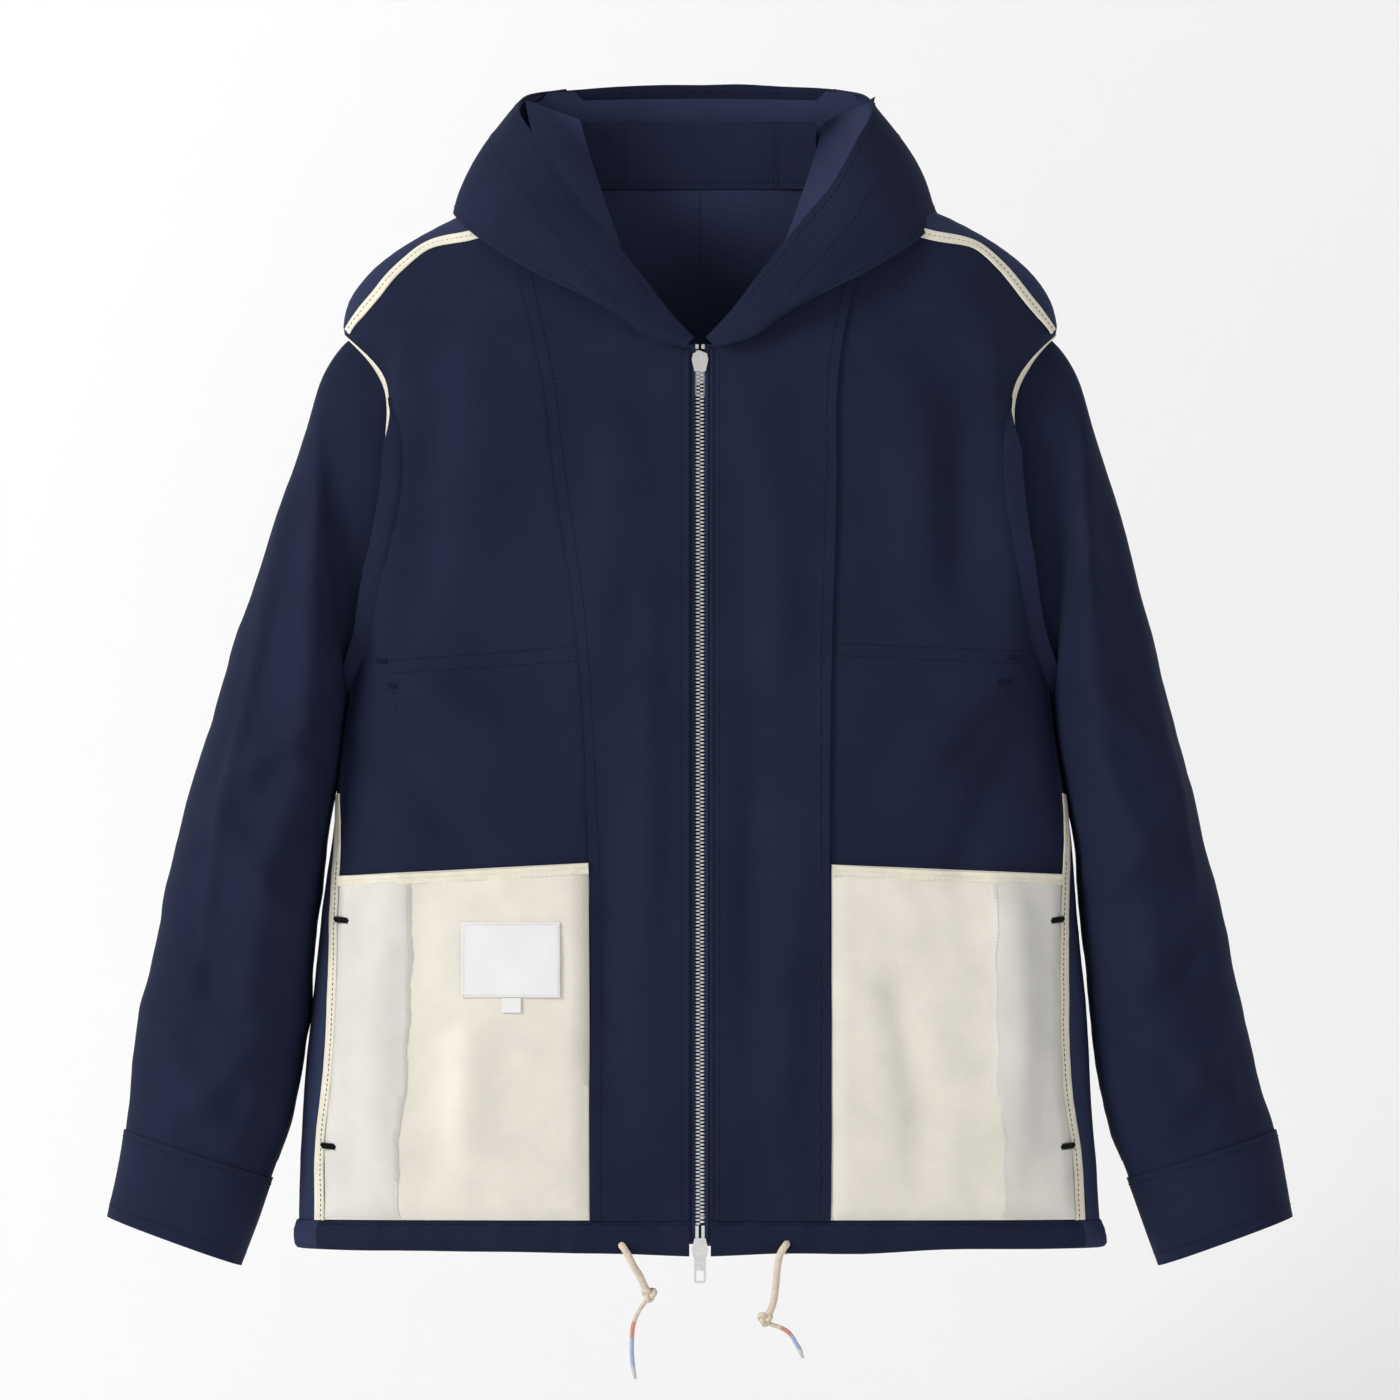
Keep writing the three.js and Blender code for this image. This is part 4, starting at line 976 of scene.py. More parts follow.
def hem():
    profile = [
        (HEM_IN, 1.5),
        (HEM_IN + 1.5, 0),
        (0, -0.6),
        (HEM_OUT - 2.2, 0.2),
        (HEM_OUT - 0.5, 3),
        (HEM_OUT - 0.2, 9),
        (HEM_OUT - 0.8, 16),
        (HEM_OUT - 2.4, 21.5),
        (HEM_OUT - 3.2, 24.6),
        (HEM_IN + 0.4, 24.6),
        (HEM_IN, 20),
    ]

    def band(side, start, stop):
        away = np.append(np.arange(start, stop, 4.0), stop)
        lifts, ups = np.array(profile).T
        grid_away = np.repeat(away, len(profile))
        lift, up = np.tile(lifts, len(away)), np.tile(ups, len(away))
        pucker = 0.9 * noise(side * grid_away, up * 0.4, 9, 21) * smooth((lift - HEM_IN) / 5)
        sag = 1.2 * noise(side * grid_away, up * 0, 60, 22) - HEM_SAG * smooth((230 - grid_away) / 200)
        points = on_body(side)(np.stack([grid_away, HEM_Z + np.maximum(up, 0)], -1), lift + pucker)
        points[:, 2] = HEM_Z + up + (sag + HEM_LIFT) * (1 - up / HEM_HEIGHT)
        return tube(points.reshape(len(away), len(profile), 3))

    begin = front([(FRONT_EDGE, HEM_Z)])[0][0]
    seam = front([(HEM_HALF_WIDTH - 15, HEM_Z)])[0][0]
    for name, side in SIDES:
        put(f"hem_band_{name}", band(side, begin, seam), navy, instead=[f"hem_front_{name}"])
        row = np.array([[a, HEM_SEAM_Z - 2.6] for a in np.linspace(begin + 2, seam, 20)])
        put(f"hem_stitches_{name}", stitches(on_body(side), row, HEM_OUT - 2.2), navy_thread)
        x, below = CORD_ROUTES[name]["cord"][1][:2]
        put(f"cord_eyelet_{name}", eyelet(x, HEM_Z - below), navy_thread)
    whole = float(round_at(HEM_Z))
    made = join([band(side, seam, whole) for _, side in SIDES])
    put("hem_band_back", made, navy_painted_bright, instead=["hem_back"])


hem()

# ---- bindings

SIDE_TAPE_TOP = -412  # above this the side tape is folded in out of sight
FLAP_TOP = -122
FLAP_REACH = 11.5


def armhole_flap(side):
    """The fold of the front that hangs over the armhole's tape."""
    arc = armhole(2 * TAPE_HALF + CLOTH + 0.6)[1:36]
    arc = arc[(arc[:, 0] < 12) & (arc[:, 1] < FLAP_TOP) & (arc[:, 1] > ARMPIT_Z - 30)]
    point, _, normal, _, _ = route(on_body(side), beside(arc), PLACKET_LOW - 1.2, 3.0)
    share = np.linspace(0, 1, len(point))
    reach = FLAP_REACH * smooth(share / 0.2 + 0.02) * smooth((1 - share) / 0.2 + 0.05)
    rings = []
    for p, n, out in zip(point, normal, reach):
        across = np.array([side, 0.12, 0])
        rings.append(
            [
                p - across * 4 + n * 0.2,
                p - across * 2 + n * 1.6,
                p + n * 2.4,
                p + across * out * 0.5 + n * 2.7,
                p + across * (out - 0.6) + n * 2.5,
                p + across * out + n * 1.7,
                p + across * (out - 0.6) + n * 1.0,
                p + across * out * 0.5 + n * 0.9,
                p + n * 0.2,
            ]
        )
    return tube(rings)


def bindings():
    for name, side in SIDES:
        place = on_body(side)
        seam = front(SHOULDER_SEAM)
        made = ribbon(place, seam, PLACKET_LOW, tape_profile(), bent=True)
        nodes = [f"shoulder_binding_{name}"]
        put(f"shoulder_tape_{name}", made, tape_white, instead=nodes)
        put(f"shoulder_stitches_{name}", stitches(place, seam, PLACKET_LOW + 0.95, bent=True), navy_thread)
        seam = front([*SIDE_SEAM[:5], (260.5, SIDE_TAPE_TOP)])
        made = ribbon(place, seam, PLACKET_LOW, tape_profile(), bent=True)
        nodes = [f"side_binding_{name}"]
        put(f"side_tape_{name}", made, tape_white, instead=nodes)
        inner = front([(x - TAPE_HALF - 1.0, z) for x, z in SIDE_SEAM[:5]])
        put(f"side_stitches_{name}", stitches(place, inner, BAG_HIGH + 1.0, width=0.7, bent=True), black)
        ring = beside(armhole(TAPE_HALF + CLOTH))
        made = ribbon(place, ring, PLACKET_LOW, tape_profile(), closed=True)
        nodes = [f"armhole_binding_{name}"]
        put(f"armhole_tape_{name}", made, tape_white, instead=nodes)
        put(f"front_flap_{name}", armhole_flap(side), navy)
        put(f"armhole_stitches_{name}", stitches(place, ring, PLACKET_LOW + 0.9), pale_thread)


bindings()

# ---- pockets

FACING_WIDTH = 54
POCKET_HEIGHTS = [HEM_SEAM_Z + 0.4, HEM_SEAM_Z + 50, HEM_SEAM_Z + 95, HEM_SEAM_Z + 180, POCKET_TOP_Z]
POCKET_LEAN = {"right": 4.8, "left": 3.6}  # the top edge falls towards the side


def pocket_outline(name):
    """The pocket's outer and inner edges, going up."""
    lean = POCKET_LEAN[name]
    lower = POCKET_HEIGHTS[:-1]
    outer = [(edge_at(SIDE_SEAM, z) - TAPE_HALF - 0.4, z) for z in [*lower, POCKET_TOP_Z - lean]]
    inner = [(edge_at(PLACKET_EDGE[name], z) + 0.4, z) for z in [*lower, POCKET_TOP_Z + lean]]
    return outer, inner


def pocket_lift(name):
    """How far a pocket's bag stands off the front, at flat points."""
    outer, inner = pocket_outline(name)
    edge = np.vstack([front(outer[::-1]), front(inner)])
    loop = np.vstack([edge, edge[:1]])

    def lift(flat):
        near = distance_to(loop, flat)
        away, z = flat.T
        crumple = 0.5 * noise(away * 1.3, z * 0.6, 26, 31) + 0.3 * noise(away + z * 0.5, z, 12, 32)
        if name == "right":
            crumple = crumple * (1 - near_label(-away, z))
        return PLACKET_LOW + (3 + crumple) * smooth(near / 9)

    return lift


TACK_THREADS = 13
TACK_SLOPE = 0.12  # upwards, from the inner end


def bar_tack(place, node):
    """Close upright threads over a bar, at a corner of the pocket's mouth."""
    low, high = box(node)
    middle = (low[2] + high[2]) / 2
    x0, x1 = sorted(abs(v) for v in (low[0], high[0]))
    parts = []
    for k, x in enumerate(np.linspace(x0, x1, TACK_THREADS)):
        tall = 1.15 + 0.25 * (-1) ** k
        rise = TACK_SLOPE * (x - x0)
        path = front([(x, middle - tall + rise), (x + 0.3, middle + tall + rise)])
        parts.append(stitches(place, path, BAG_HIGH + 1.1, 2.6, 40, 0.95))
    path = front([(x0 - 0.8, middle), (x1 + 0.8, middle + TACK_SLOPE * (x1 - x0))])
    parts.append(ribbon(place, path, BAG_HIGH + 0.7, tape_profile(0.9, 0.7), step=1))
    put(f"{node}_thread", join(parts), black, instead=[node])


def pockets():
    for name, side in SIDES:
        place = on_body(side)
        lift = pocket_lift(name)
        outer, inner = pocket_outline(name)
        outline = np.vstack([front(outer), front(inner[::-1])])
        made = sheet_on(place, outline, lift, lambda flat: lift(flat) + 1.0, step=4)
        bag = put(f"pocket_cloth_{name}", made, cream, instead=[f"pocket_bag_{name}"])

        heights = np.linspace(HEM_SEAM_Z + 2, POCKET_TOP_Z - POCKET_LEAN[name] - TAPE_HALF, 90)
        edge = [(edge_at(outer, z) - 0.5, z) for z in heights]
        ragged = 0.5 * noise(heights, heights * 0, 3.2, 41) + 0.7 * noise(heights, heights * 0, 22, 42)
        back = [(x - FACING_WIDTH + r, z) for (x, z), r in zip(edge, ragged)]
        strip = np.vstack([front(edge), front(back[::-1])])
        made = sheet_on(place, strip, lambda f: lift(f) + 1.05, lambda f: lift(f) + 1.75, step=4)
        nodes = [f"pocket_facing_{name}"]
        facing = put(f"pocket_strip_{name}", made, grey, instead=nodes)
        row = front([(x + 2.2, z) for x, z in back[::3]])
        put(f"strip_stitches_{name}", stitches(place, row, BAG_HIGH + 0.75, 1.6, 1.0), pale_thread)

        (x0, z0), (x1, z1) = inner[-1], outer[-1]
        t = np.linspace(0, 1, 6)
        droop = 0.9 * np.sin(math.pi * t)
        line = front(np.stack([mix(x0, x1, t), mix(z0, z1, t) - TAPE_HALF - droop], -1))
        made = ribbon(place, line, PLACKET_LOW + 2.4, tape_profile(TAPE_HALF, 1.8))
        put(f"pocket_tape_{name}", made, tape_white, instead=[f"pocket_binding_{name}"])
        low = line - [0, 2.6]
        put(f"tape_stitches_{name}", stitches(place, low, PLACKET_LOW + 4.1), pale_thread)

        for end in ("upper", "lower"):
            bar_tack(place, f"bar_tack_{end}_{name}")


pockets()

# ---- stitching on the chest

CHEST_ROWS = {
    "right": [[(217, -315.5), (92, -306)], [(219, -325), (90, -316)]],
    "left": [[(229, -309), (98, -303)], [(231, -318), (98, -312)]],
}
CHEST_TACKS = {
    "right": [(224, -316, 9), (217, -334, 8)],
    "left": [(222, -313, 8), (213, -331, 9)],
}


def chest():
    for name, side in SIDES:
        place = on_body(side)
        parts = [stitches(place, front(row), CLOTH + 0.1, 2.3, 1.4, 0.6) for row in CHEST_ROWS[name]]
        for x, z, reach in CHEST_TACKS[name]:
            for k in range(6):
                at = x - reach / 2 + k * reach / 5
                path = front([(at, z - 1.2), (at + 0.5, z + 1.2)])
                parts.append(stitches(place, path, CLOTH + 0.1, 2.3, 40, 0.6))
        x, z, _ = CHEST_TACKS[name][1]
        parts.append(stitches(place, front([(x, z - 4), (x + 1, z - 22)]), CLOTH + 0.1, 2.3, 1.4, 0.6))
        put(f"chest_stitches_{name}", join(parts), navy_thread)


chest()

# ---- label and size tag, both blank


LABEL_LEAN = 0.0428  # of its plane, as it follows the front round


def corners_of(node, inset=0.0):
    low, high = box(node)
    x0, z0, x1, z1 = low[0] + inset, low[2] + inset, high[0] - inset, high[2] - inset
    return [(x0, z0), (x1, z0), (x1, z1), (x0, z1)]


def on_label(node):
    """The plane of the label or the size tag: [x, z] and a lift towards the front."""
    low, high = box(node)
    middle = (low + high) / 2

    def place(flat, lift):
        x, z = np.asarray(flat, float).T
        return np.stack([x, middle[1] - (x - middle[0]) * LABEL_LEAN - lift, z], -1)

    return place


def labels():
    for node, body, bow, held in (
        ("label", "torso", 0.5, "laid"),
        ("size_tag", "size_tag_body", 0.2, "hung"),
    ):
        low, high = box(node)
        xs, zs = np.linspace(low[0], high[0], 30), np.linspace(low[2], high[2], 24)
        grid = np.stack(np.meshgrid(xs, zs), -1).reshape(-1, 2)
        x, z = grid.T
        wave = bow * noise(x, z, 21, 51) + 0.12 * noise(x, z * 8, 9, 52)
        place = on_label(node)
        made = thick(place(grid, wave - 0.35), place(grid, wave + 0.35), grid_faces(24, 30))
        patch = put(f"{node}_cloth", made, label_white, body, [node])
    loop = corners_of("label", 1.5)
    made = stitches(on_label("label"), [*loop, loop[0]], 0.75, 1.8, 1.1, 0.35)
    put("label_stitches", made, pale_thread)


labels()

# ---- zip

ZIP_TOP_Z = -NECK_DROP + 4
ZIP_BOTTOM_Z = HEM_Z + 10
PITCH = 2.65


def chain_line(z):
    """Y of the chain at a height: straight between its ends, so that the sliders can run."""
    top, bottom = (-(half_depth(end) + CLOTH / 2) for end in (ZIP_TOP_Z, ZIP_BOTTOM_Z))
    return mix(top, bottom, (z - ZIP_TOP_Z) / (ZIP_BOTTOM_Z - ZIP_TOP_Z))


def rounded_box(half, place):
    """A box with softened corners, 12 points round and 4 rings deep."""
    turn = np.linspace(0, 2 * math.pi, 12, endpoint=False)
    rings = []
    for height, shrink in ((-1, 0.72), (-0.6, 1), (0.6, 1), (1, 0.72)):
        x = half[0] * shrink * signed_power(np.cos(turn), 0.45)
        z = half[2] * shrink * signed_power(np.sin(turn), 0.45)
        rings.append(np.stack([x, np.full(12, half[1] * height), z], -1) + place)
    return tube(rings)


def zip_chain():
    for name, side in SIDES:
        low, high = box(f"zip_teeth_{name}")
        offset = PITCH / 2 if side > 0 else 0
        heights = np.arange(low[2] + 1 + offset, high[2] - 0.8, PITCH)
        parts = []
        for z in heights:
            y = float(chain_line(z))
            parts.append(rounded_box((1.25, 1.2, 0.72), (side * 2.05, y, z)))
            parts.append(rounded_box((0.95, 1.1, 0.85), (side * 0.95, y, z)))
        put(f"teeth_{name}", join(parts), steel, instead=[f"zip_teeth_{name}"])

        def place(flat, lift, side=side):
            x, z = np.asarray(flat, float).T
            return np.stack([side * x, chain_line(z) + 1.3 * smooth((x - 5) / 3) - lift, z], -1)

        xs = np.array([3.5, 4.3, 5.2, 6.2, 7.2, 9.0, 12.0, 15.0])
        zs = np.linspace(ZIP_BOTTOM_Z, ZIP_TOP_Z, 110)
        grid = np.stack(np.meshgrid(xs, zs), -1).reshape(-1, 2)
        grid[:, 0] = np.where(grid[:, 1] < HEM_SEAM_Z + 3, np.minimum(grid[:, 0], 7), grid[:, 0])
        grid[:, 0] += np.tile(np.arange(8) * 1e-3, 110)
        made = thick(place(grid, -0.35), place(grid, 0.35), grid_faces(110, 8))
        put(f"tape_{name}", made, navy_painted_bright, instead=[f"zip_tape_{name}"])


def zip_metal():
    """The CAD's own metal pieces, with bright steel and soft edges."""
    ends = [f"zip_top_stop_{name}" for name, _ in SIDES] + ["zip_insertion_pin", "zip_retaining_pin"]
    sliders = [f"zip_{end}_{part}" for end in ("top", "bottom") for part in ("slider", "pull")]
    for node in ends + sliders:
        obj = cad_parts[node]
        obj.data.materials.clear()
        obj.data.materials.append(steel)
        soft = obj.modifiers.new("soft_edges", "BEVEL")
        soft.width = 0.25 * MM
        soft.segments = 2
        soft.limit_method = "ANGLE"


zip_chain()
zip_metal()

# ---- hood

COLLAR = [
    # lower edge, then rim, from the front of the neck round to the back
    ((11, -64, -90), (5, -63, -84)),
    ((36, -67, -83), (22, -63, -66)),
    ((58, -68, -68), (44, -59, -37)),
    ((85, -67, -53), (68, -52, -7)),
    ((120, -61, -36), (94, -42, 25)),
    ((158, -42, -12), (117, -25, 59)),
    ((176, -8, 5.6), (131, -3, 81)),
    ((174, 28, 10), (125, 28, 93)),
    ((152, 56, 15), (97, 57, 99)),
]
COLLAR_BULGE = 8
LEFT_SIDE_IN = 9  # the hood lies a little narrower on the wearer's left
FACING_WIDE = 31  # from the rim to the facing's stitches
HOOD_FOLDS = [
    (60, -75, 105, -20, 7, 1.5),
    (80, -60, 150, 15, 9, -1.3),
    (120, 60, 150, -10, 8, 1.5),
    (100, 5, 165, 5, 7, 1.1),
    (35, -75, 90, -45, 6, 1.2),
    (128, 30, 165, -5, 7, -1.2),
]


def collar(side):
    """A surface over the hood's side: [share round, share up] and a lift become points in space."""
    lower = np.array([edge for edge, _ in COLLAR], float)
    rim = np.array([edge for _, edge in COLLAR], float)
    knots = lengths((lower + rim) / 2)
    knots = knots / knots[-1]

    def bare(flat):
        u, v = np.clip(np.asarray(flat, float).T, 0, 1)
        a, b = curved(lower, u, knots), curved(rim, u, knots)
        p = mix(a, b, v[:, None])
        out = p * [1, 1, 0]
        out /= np.linalg.norm(out, axis=1)[:, None]
        width = np.linalg.norm(a - b, axis=1)
        bulge = 4 * v * (1 - v) * COLLAR_BULGE * clamp(width / 60)
        p = p + out * bulge[:, None]
        ripple = folds(p[:, 0], p[:, 2], HOOD_FOLDS) * smooth((110 - p[:, 1]) / 60)
        along, up = side * u * 300, v * 80
        ripple = ripple + 1.1 * noise(along, up, 34, 61 + side) + 0.35 * noise(along, up, 13, 64)
        ripple = ripple * smooth(v / 0.15) * smooth(u / 0.08) * (0.35 + 0.65 * smooth((1 - v) / 0.3))
        return p + out * ripple[:, None]

    def place(flat, lift):
        flat = np.asarray(flat, float)
        e = 0.004
        p = bare(flat)
        du = bare(flat + [e, 0]) - bare(flat - [e, 0])
        dv = bare(flat + [0, e]) - bare(flat - [0, e])
        normal = np.cross(du, dv)
        normal /= np.maximum(np.linalg.norm(normal, axis=1), 1e-9)[:, None]
        normal *= np.where((normal * (p * [1, 1, 0])).sum(1) < 0, -1, 1)[:, None]
        p = p + normal * np.reshape(lift, (-1, 1))
        if side > 0:
            p[:, 0] -= LEFT_SIDE_IN * smooth((p[:, 0] - 90) / 60) * smooth((p[:, 2] + 20) / 40)
        return p * [side, 1, 1]

    return place


def grid_sheet(place, us, vs, low, high):
    """Cloth over a grid of shares, between two lifts."""
    grid = np.stack(np.meshgrid(us, vs), -1).reshape(-1, 2)
    return thick(place(grid, low), place(grid, high), grid_faces(len(vs), len(us)))


def facing_line(place, wide, count=40):
    """Shares [round, up] at a distance inside the rim."""
    us = np.linspace(0.13, 1, count)
    found = []
    for u in us:
        vs = np.linspace(0.02, 1, 60)
        p = place(np.stack([np.full(60, u), vs], -1), 0)
        left = lengths(p[::-1])[::-1]
        found.append((u, float(np.interp(wide, left[::-1], vs[::-1]))))
    return [(u, v) for u, v in found if v > 0.05]


def hood_sides():
    for name, side in SIDES:
        place = collar(side)
        made = grid_sheet(place, np.linspace(0, 1, 120), np.linspace(0, 1, 32), 0, CLOTH)
        put(f"hood_cloth_{name}", made, navy, instead=[f"hood_side_{name}"])
        inner = grid_sheet(place, np.linspace(0.12, 1, 100), np.linspace(0.6, 0.995, 16), -1.4, -0.3)
        put(f"hood_lining_{name}", inner, navy_painted_bright, instead=[f"hood_facing_{name}"])
        rows = [stitches(place, facing_line(place, FACING_WIDE), CLOTH + 0.1, bent=True)]
        rows.append(stitches(place, facing_line(place, 5), CLOTH + 0.1, bent=True))
        rows.append(stitches(place, [(u, 0.06) for u in np.linspace(0.05, 0.98, 30)], CLOTH + 0.1))
        put(f"hood_stitches_{name}", join(rows), navy_thread)
        rim = [(u, 0.995) for u in np.linspace(0, 1, 60)]
        put(f"hood_rim_roll_{name}", ribbon(place, rim, 0.2, roll_profile(1.2, 1.3)), navy)


hood_sides()

RIM = {"x": 98.8, "y": 80, "edge_y": 58.8, "top": 104, "edge_top": 99, "bottom": 64.6}


def rim_back(flat, lift):
    """The hood's far edge: [share across, share up]."""
    u, v = np.asarray(flat, float).T
    x = mix(-RIM["x"], RIM["x"], u)
    out = (x / RIM["x"]) ** 2
    top = mix(RIM["top"], RIM["edge_top"], out) + 0.8 * noise(x, x * 0, 30, 71)
    wave = 1.1 * noise(x, v * 30, 24, 72) * (1 - v * 0.5)
    y = mix(RIM["y"], RIM["edge_y"], out) + 3 * (1 - v) + wave - lift
    return np.stack([x, y, mix(RIM["bottom"], top, v)], -1)


STAND_HALF = 84


def stand(flat, lift):
    """The inside of the hood at the back of the neck: [share across, share up]."""
    u, v = np.asarray(flat, float).T
    x = mix(-STAND_HALF, STAND_HALF, u)
    out = (x / STAND_HALF) ** 2
    foot = NECK_HALF_DEPTH * (1 - (np.abs(x) / NECK_HALF_WIDTH) ** 2.6) ** (1 / 2.6)
    y = mix(foot + 1, mix(48, 30, out), v) + 1.2 * noise(x, v * 50, 26, 73) * v - lift
    return np.stack([x, y, mix(NECK_BACK_Z + 0.4, 75 + 1.5 * noise(x, x * 0, 25, 74), v)], -1)


CENTRE_HALF = 55
INSIDE_HALF = 127  # of the cloth behind the stand
# The folded inside's two edges, from the top down.
HOOD_INNER = [(90, 20, 76), (81, 17, 45), (71, 10, 15), (60, -6, -16)]
HOOD_OUTER = [(127, 27, 92), (121, 0, 66), (98, -27, 22), (75, -42, -6)]


def inner_fold(side):
    """The hood's inside, folded forward between the stand and the rim: [share down, share out]."""
    lean = 0 if side > 0 else 3

    def place(flat, lift):
        u, v = np.asarray(flat, float).T
        p = mix(curved(HOOD_INNER, u), curved(HOOD_OUTER, u), v[:, None])
        p[:, 1] += 7 * np.sin(math.pi * v) * (1 - 0.6 * u) + 1.5 * noise(u * 90, v * 40, 22, 75 + side) - lift
        p[:, 0] -= lean * (1 - v)
        p[:, 2] += 1.5 * noise(v * 60, v * 0, 20, 77 + side) * (1 - u)
        return p * [side, 1, 1]

    return place


def inside_back(flat, lift):
    """The hood's cloth behind the stand, up to just under the rim: [share across, share up]."""
    u, v = np.asarray(flat, float).T
    x = mix(-INSIDE_HALF, INSIDE_HALF, u)
    out = (x / INSIDE_HALF) ** 2
    y = mix(66, 34, out) + 2.2 * noise(x, v * 60, 30, 78) - lift
    top = 93 - 4 * out + 7 * smooth((np.abs(x) - 84) / 8) * smooth((116 - np.abs(x)) / 6)
    return np.stack([x, y, mix(10, top, v)], -1)


def hood_back():
    for name, side in SIDES:
        made = grid_sheet(inner_fold(side), np.linspace(0, 1, 40), np.linspace(0, 1, 24), 0, CLOTH)
        put(f"hood_inner_fold_{name}", made, navy_painted_bright)
    made = grid_sheet(inside_back, np.linspace(0, 1, 80), np.linspace(0, 1, 26), 0, CLOTH)
    put("hood_inside_cloth", made, navy_painted_bright)
    made = grid_sheet(rim_back, np.linspace(0, 1, 80), np.linspace(0, 1, 14), 0, CLOTH)
    put("hood_rim_cloth", made, navy, instead=["hood_rim_back"])
    made = grid_sheet(stand, np.linspace(0, 1, 70), np.linspace(0, 1, 18), 0, CLOTH)
    put("hood_stand_cloth", made, navy, instead=["hood_stand"])
    rows = []
    for place, reach in ((rim_back, RIM["x"]), (stand, STAND_HALF)):
        for x in (-CENTRE_HALF - 1.5, -CENTRE_HALF + 1.5, CENTRE_HALF - 1.5, CENTRE_HALF + 1.5):
            u = (x / reach + 1) / 2
            rows.append(stitches(place, [(u, 0.04), (u, 0.96)], CLOTH + 0.1))
    rows.append(stitches(stand, [(u, 0.1) for u in np.linspace(0.02, 0.98, 20)], CLOTH + 0.1))
    rows.append(stitches(rim_back, [(u, 0.86) for u in np.linspace(0.02, 0.98, 20)], CLOTH + 0.1))
    put("hood_inside_stitches", join(rows), navy_thread)


hood_back()

BAG = [
    # height, half width, front y, back y
    (-150, 112, 66, 92),
    (-140, 134, 63, 98),
    (-90, 142, 62, 102),
    (-20, 136, 61, 102),
    (30, 116, 60, 96),
    (64, 90, 58, 84.6),
]
BAG_FOLDS = [
    (-90, 40, -110, -130, 12, 2),
    (85, 30, 112, -130, 12, 1.8),
    (-20, 50, -10, -120, 16, 1.5),
    (30, 20, 45, -130, 14, -1.5),
]
HOOD_BEND = ("torso", "hood", (0, 0.08, 0.075), (0, 0.09, 0.02))


def bag_place(flat, lift):
    """The folded hood behind: [turn, share up]."""
    turn, v = np.asarray(flat, float).T
    rows = np.array(BAG, float)
    knots = (rows[:, 0] - rows[0, 0]) / (rows[-1, 0] - rows[0, 0])
    z, half, near, far = curved(rows, clamp(v), knots).T
    x = half * signed_power(np.cos(turn), 0.8)
    depth = (near + far) / 2 + (far - near) / 2 * signed_power(np.sin(turn), 0.8)
    behind = smooth(np.sin(turn) * 2)
    ripple = behind * (folds(x, z, BAG_FOLDS) + 1.2 * noise(x, z, 38, 81) + 0.35 * noise(x, z, 14, 82))
    out = lift + ripple
    return np.stack([x + out * np.cos(turn), depth + out * np.sin(turn), z], -1)


def bag_panel(start, stop):
    """The bag's cloth between two turns."""
    us = np.linspace(start, stop, max(12, int(abs(stop - start) / 0.045)))
    return grid_sheet(bag_place, us, np.linspace(0, 1, 60), -CLOTH, 0)


def hood_bag():
    seam = math.acos((CENTRE_HALF / 128) ** (1 / 0.8))
    centre = join([bag_panel(seam, math.pi - seam), bag_panel(-math.pi + seam, -seam)])
    put("hood_bag_centre_cloth", centre, navy, instead=["hood_bag_centre"], bend=HOOD_BEND)
    put("hood_bag_left_cloth", bag_panel(-seam, seam), navy, instead=["hood_bag_left"], bend=HOOD_BEND)
    right = bag_panel(math.pi - seam, math.pi + seam)
    put("hood_bag_right_cloth", right, navy, instead=["hood_bag_right"], bend=HOOD_BEND)
    # The fold at the foot of the hood.
    turn = np.linspace(0, 2 * math.pi, 90, endpoint=False)
    rings = []
    for share in (0.0, 0.35, 0.7, 0.97):
        edge = bag_place(np.stack([turn, np.zeros(90)], -1), 0)
        middle = edge.mean(0)
        sink = 3 * math.sin(share * math.pi / 2)
        rings.append(middle + (edge - middle) * [1 - share, 1 - share, 1] - [0, 0, sink])
    put("hood_bag_fold", tube(rings), navy, bend=HOOD_BEND)
    rows = []
    for turned in (seam, math.pi - seam):
        for off in (-0.02, 0.02):
            rows.append(stitches(bag_place, [(turned + off, v) for v in np.linspace(0.02, 0.97, 20)], 0.15))
    put("hood_bag_stitches", join(rows), navy_thread, bend=HOOD_BEND)


hood_bag()

# ---- sleeves

SLEEVE_END_X = 380
SLEEVE_DROP = 735
CUFF_LENGTH = 64
CUFF_WIDTH = 98
CUFF_TILT = math.radians(20)
SLEEVE_CLEAR = 5


SHOULDER_EDGE = (297, -186)  # x, z where the sleeve's outer edge turns down
SLEEVE_FULL = 9  # how far the outer edge bows out, between the two sides
CUFF_OUT = 44  # from the cuff's middle to where the outer edge ends
CUFF_HALF_DEPTH = 44


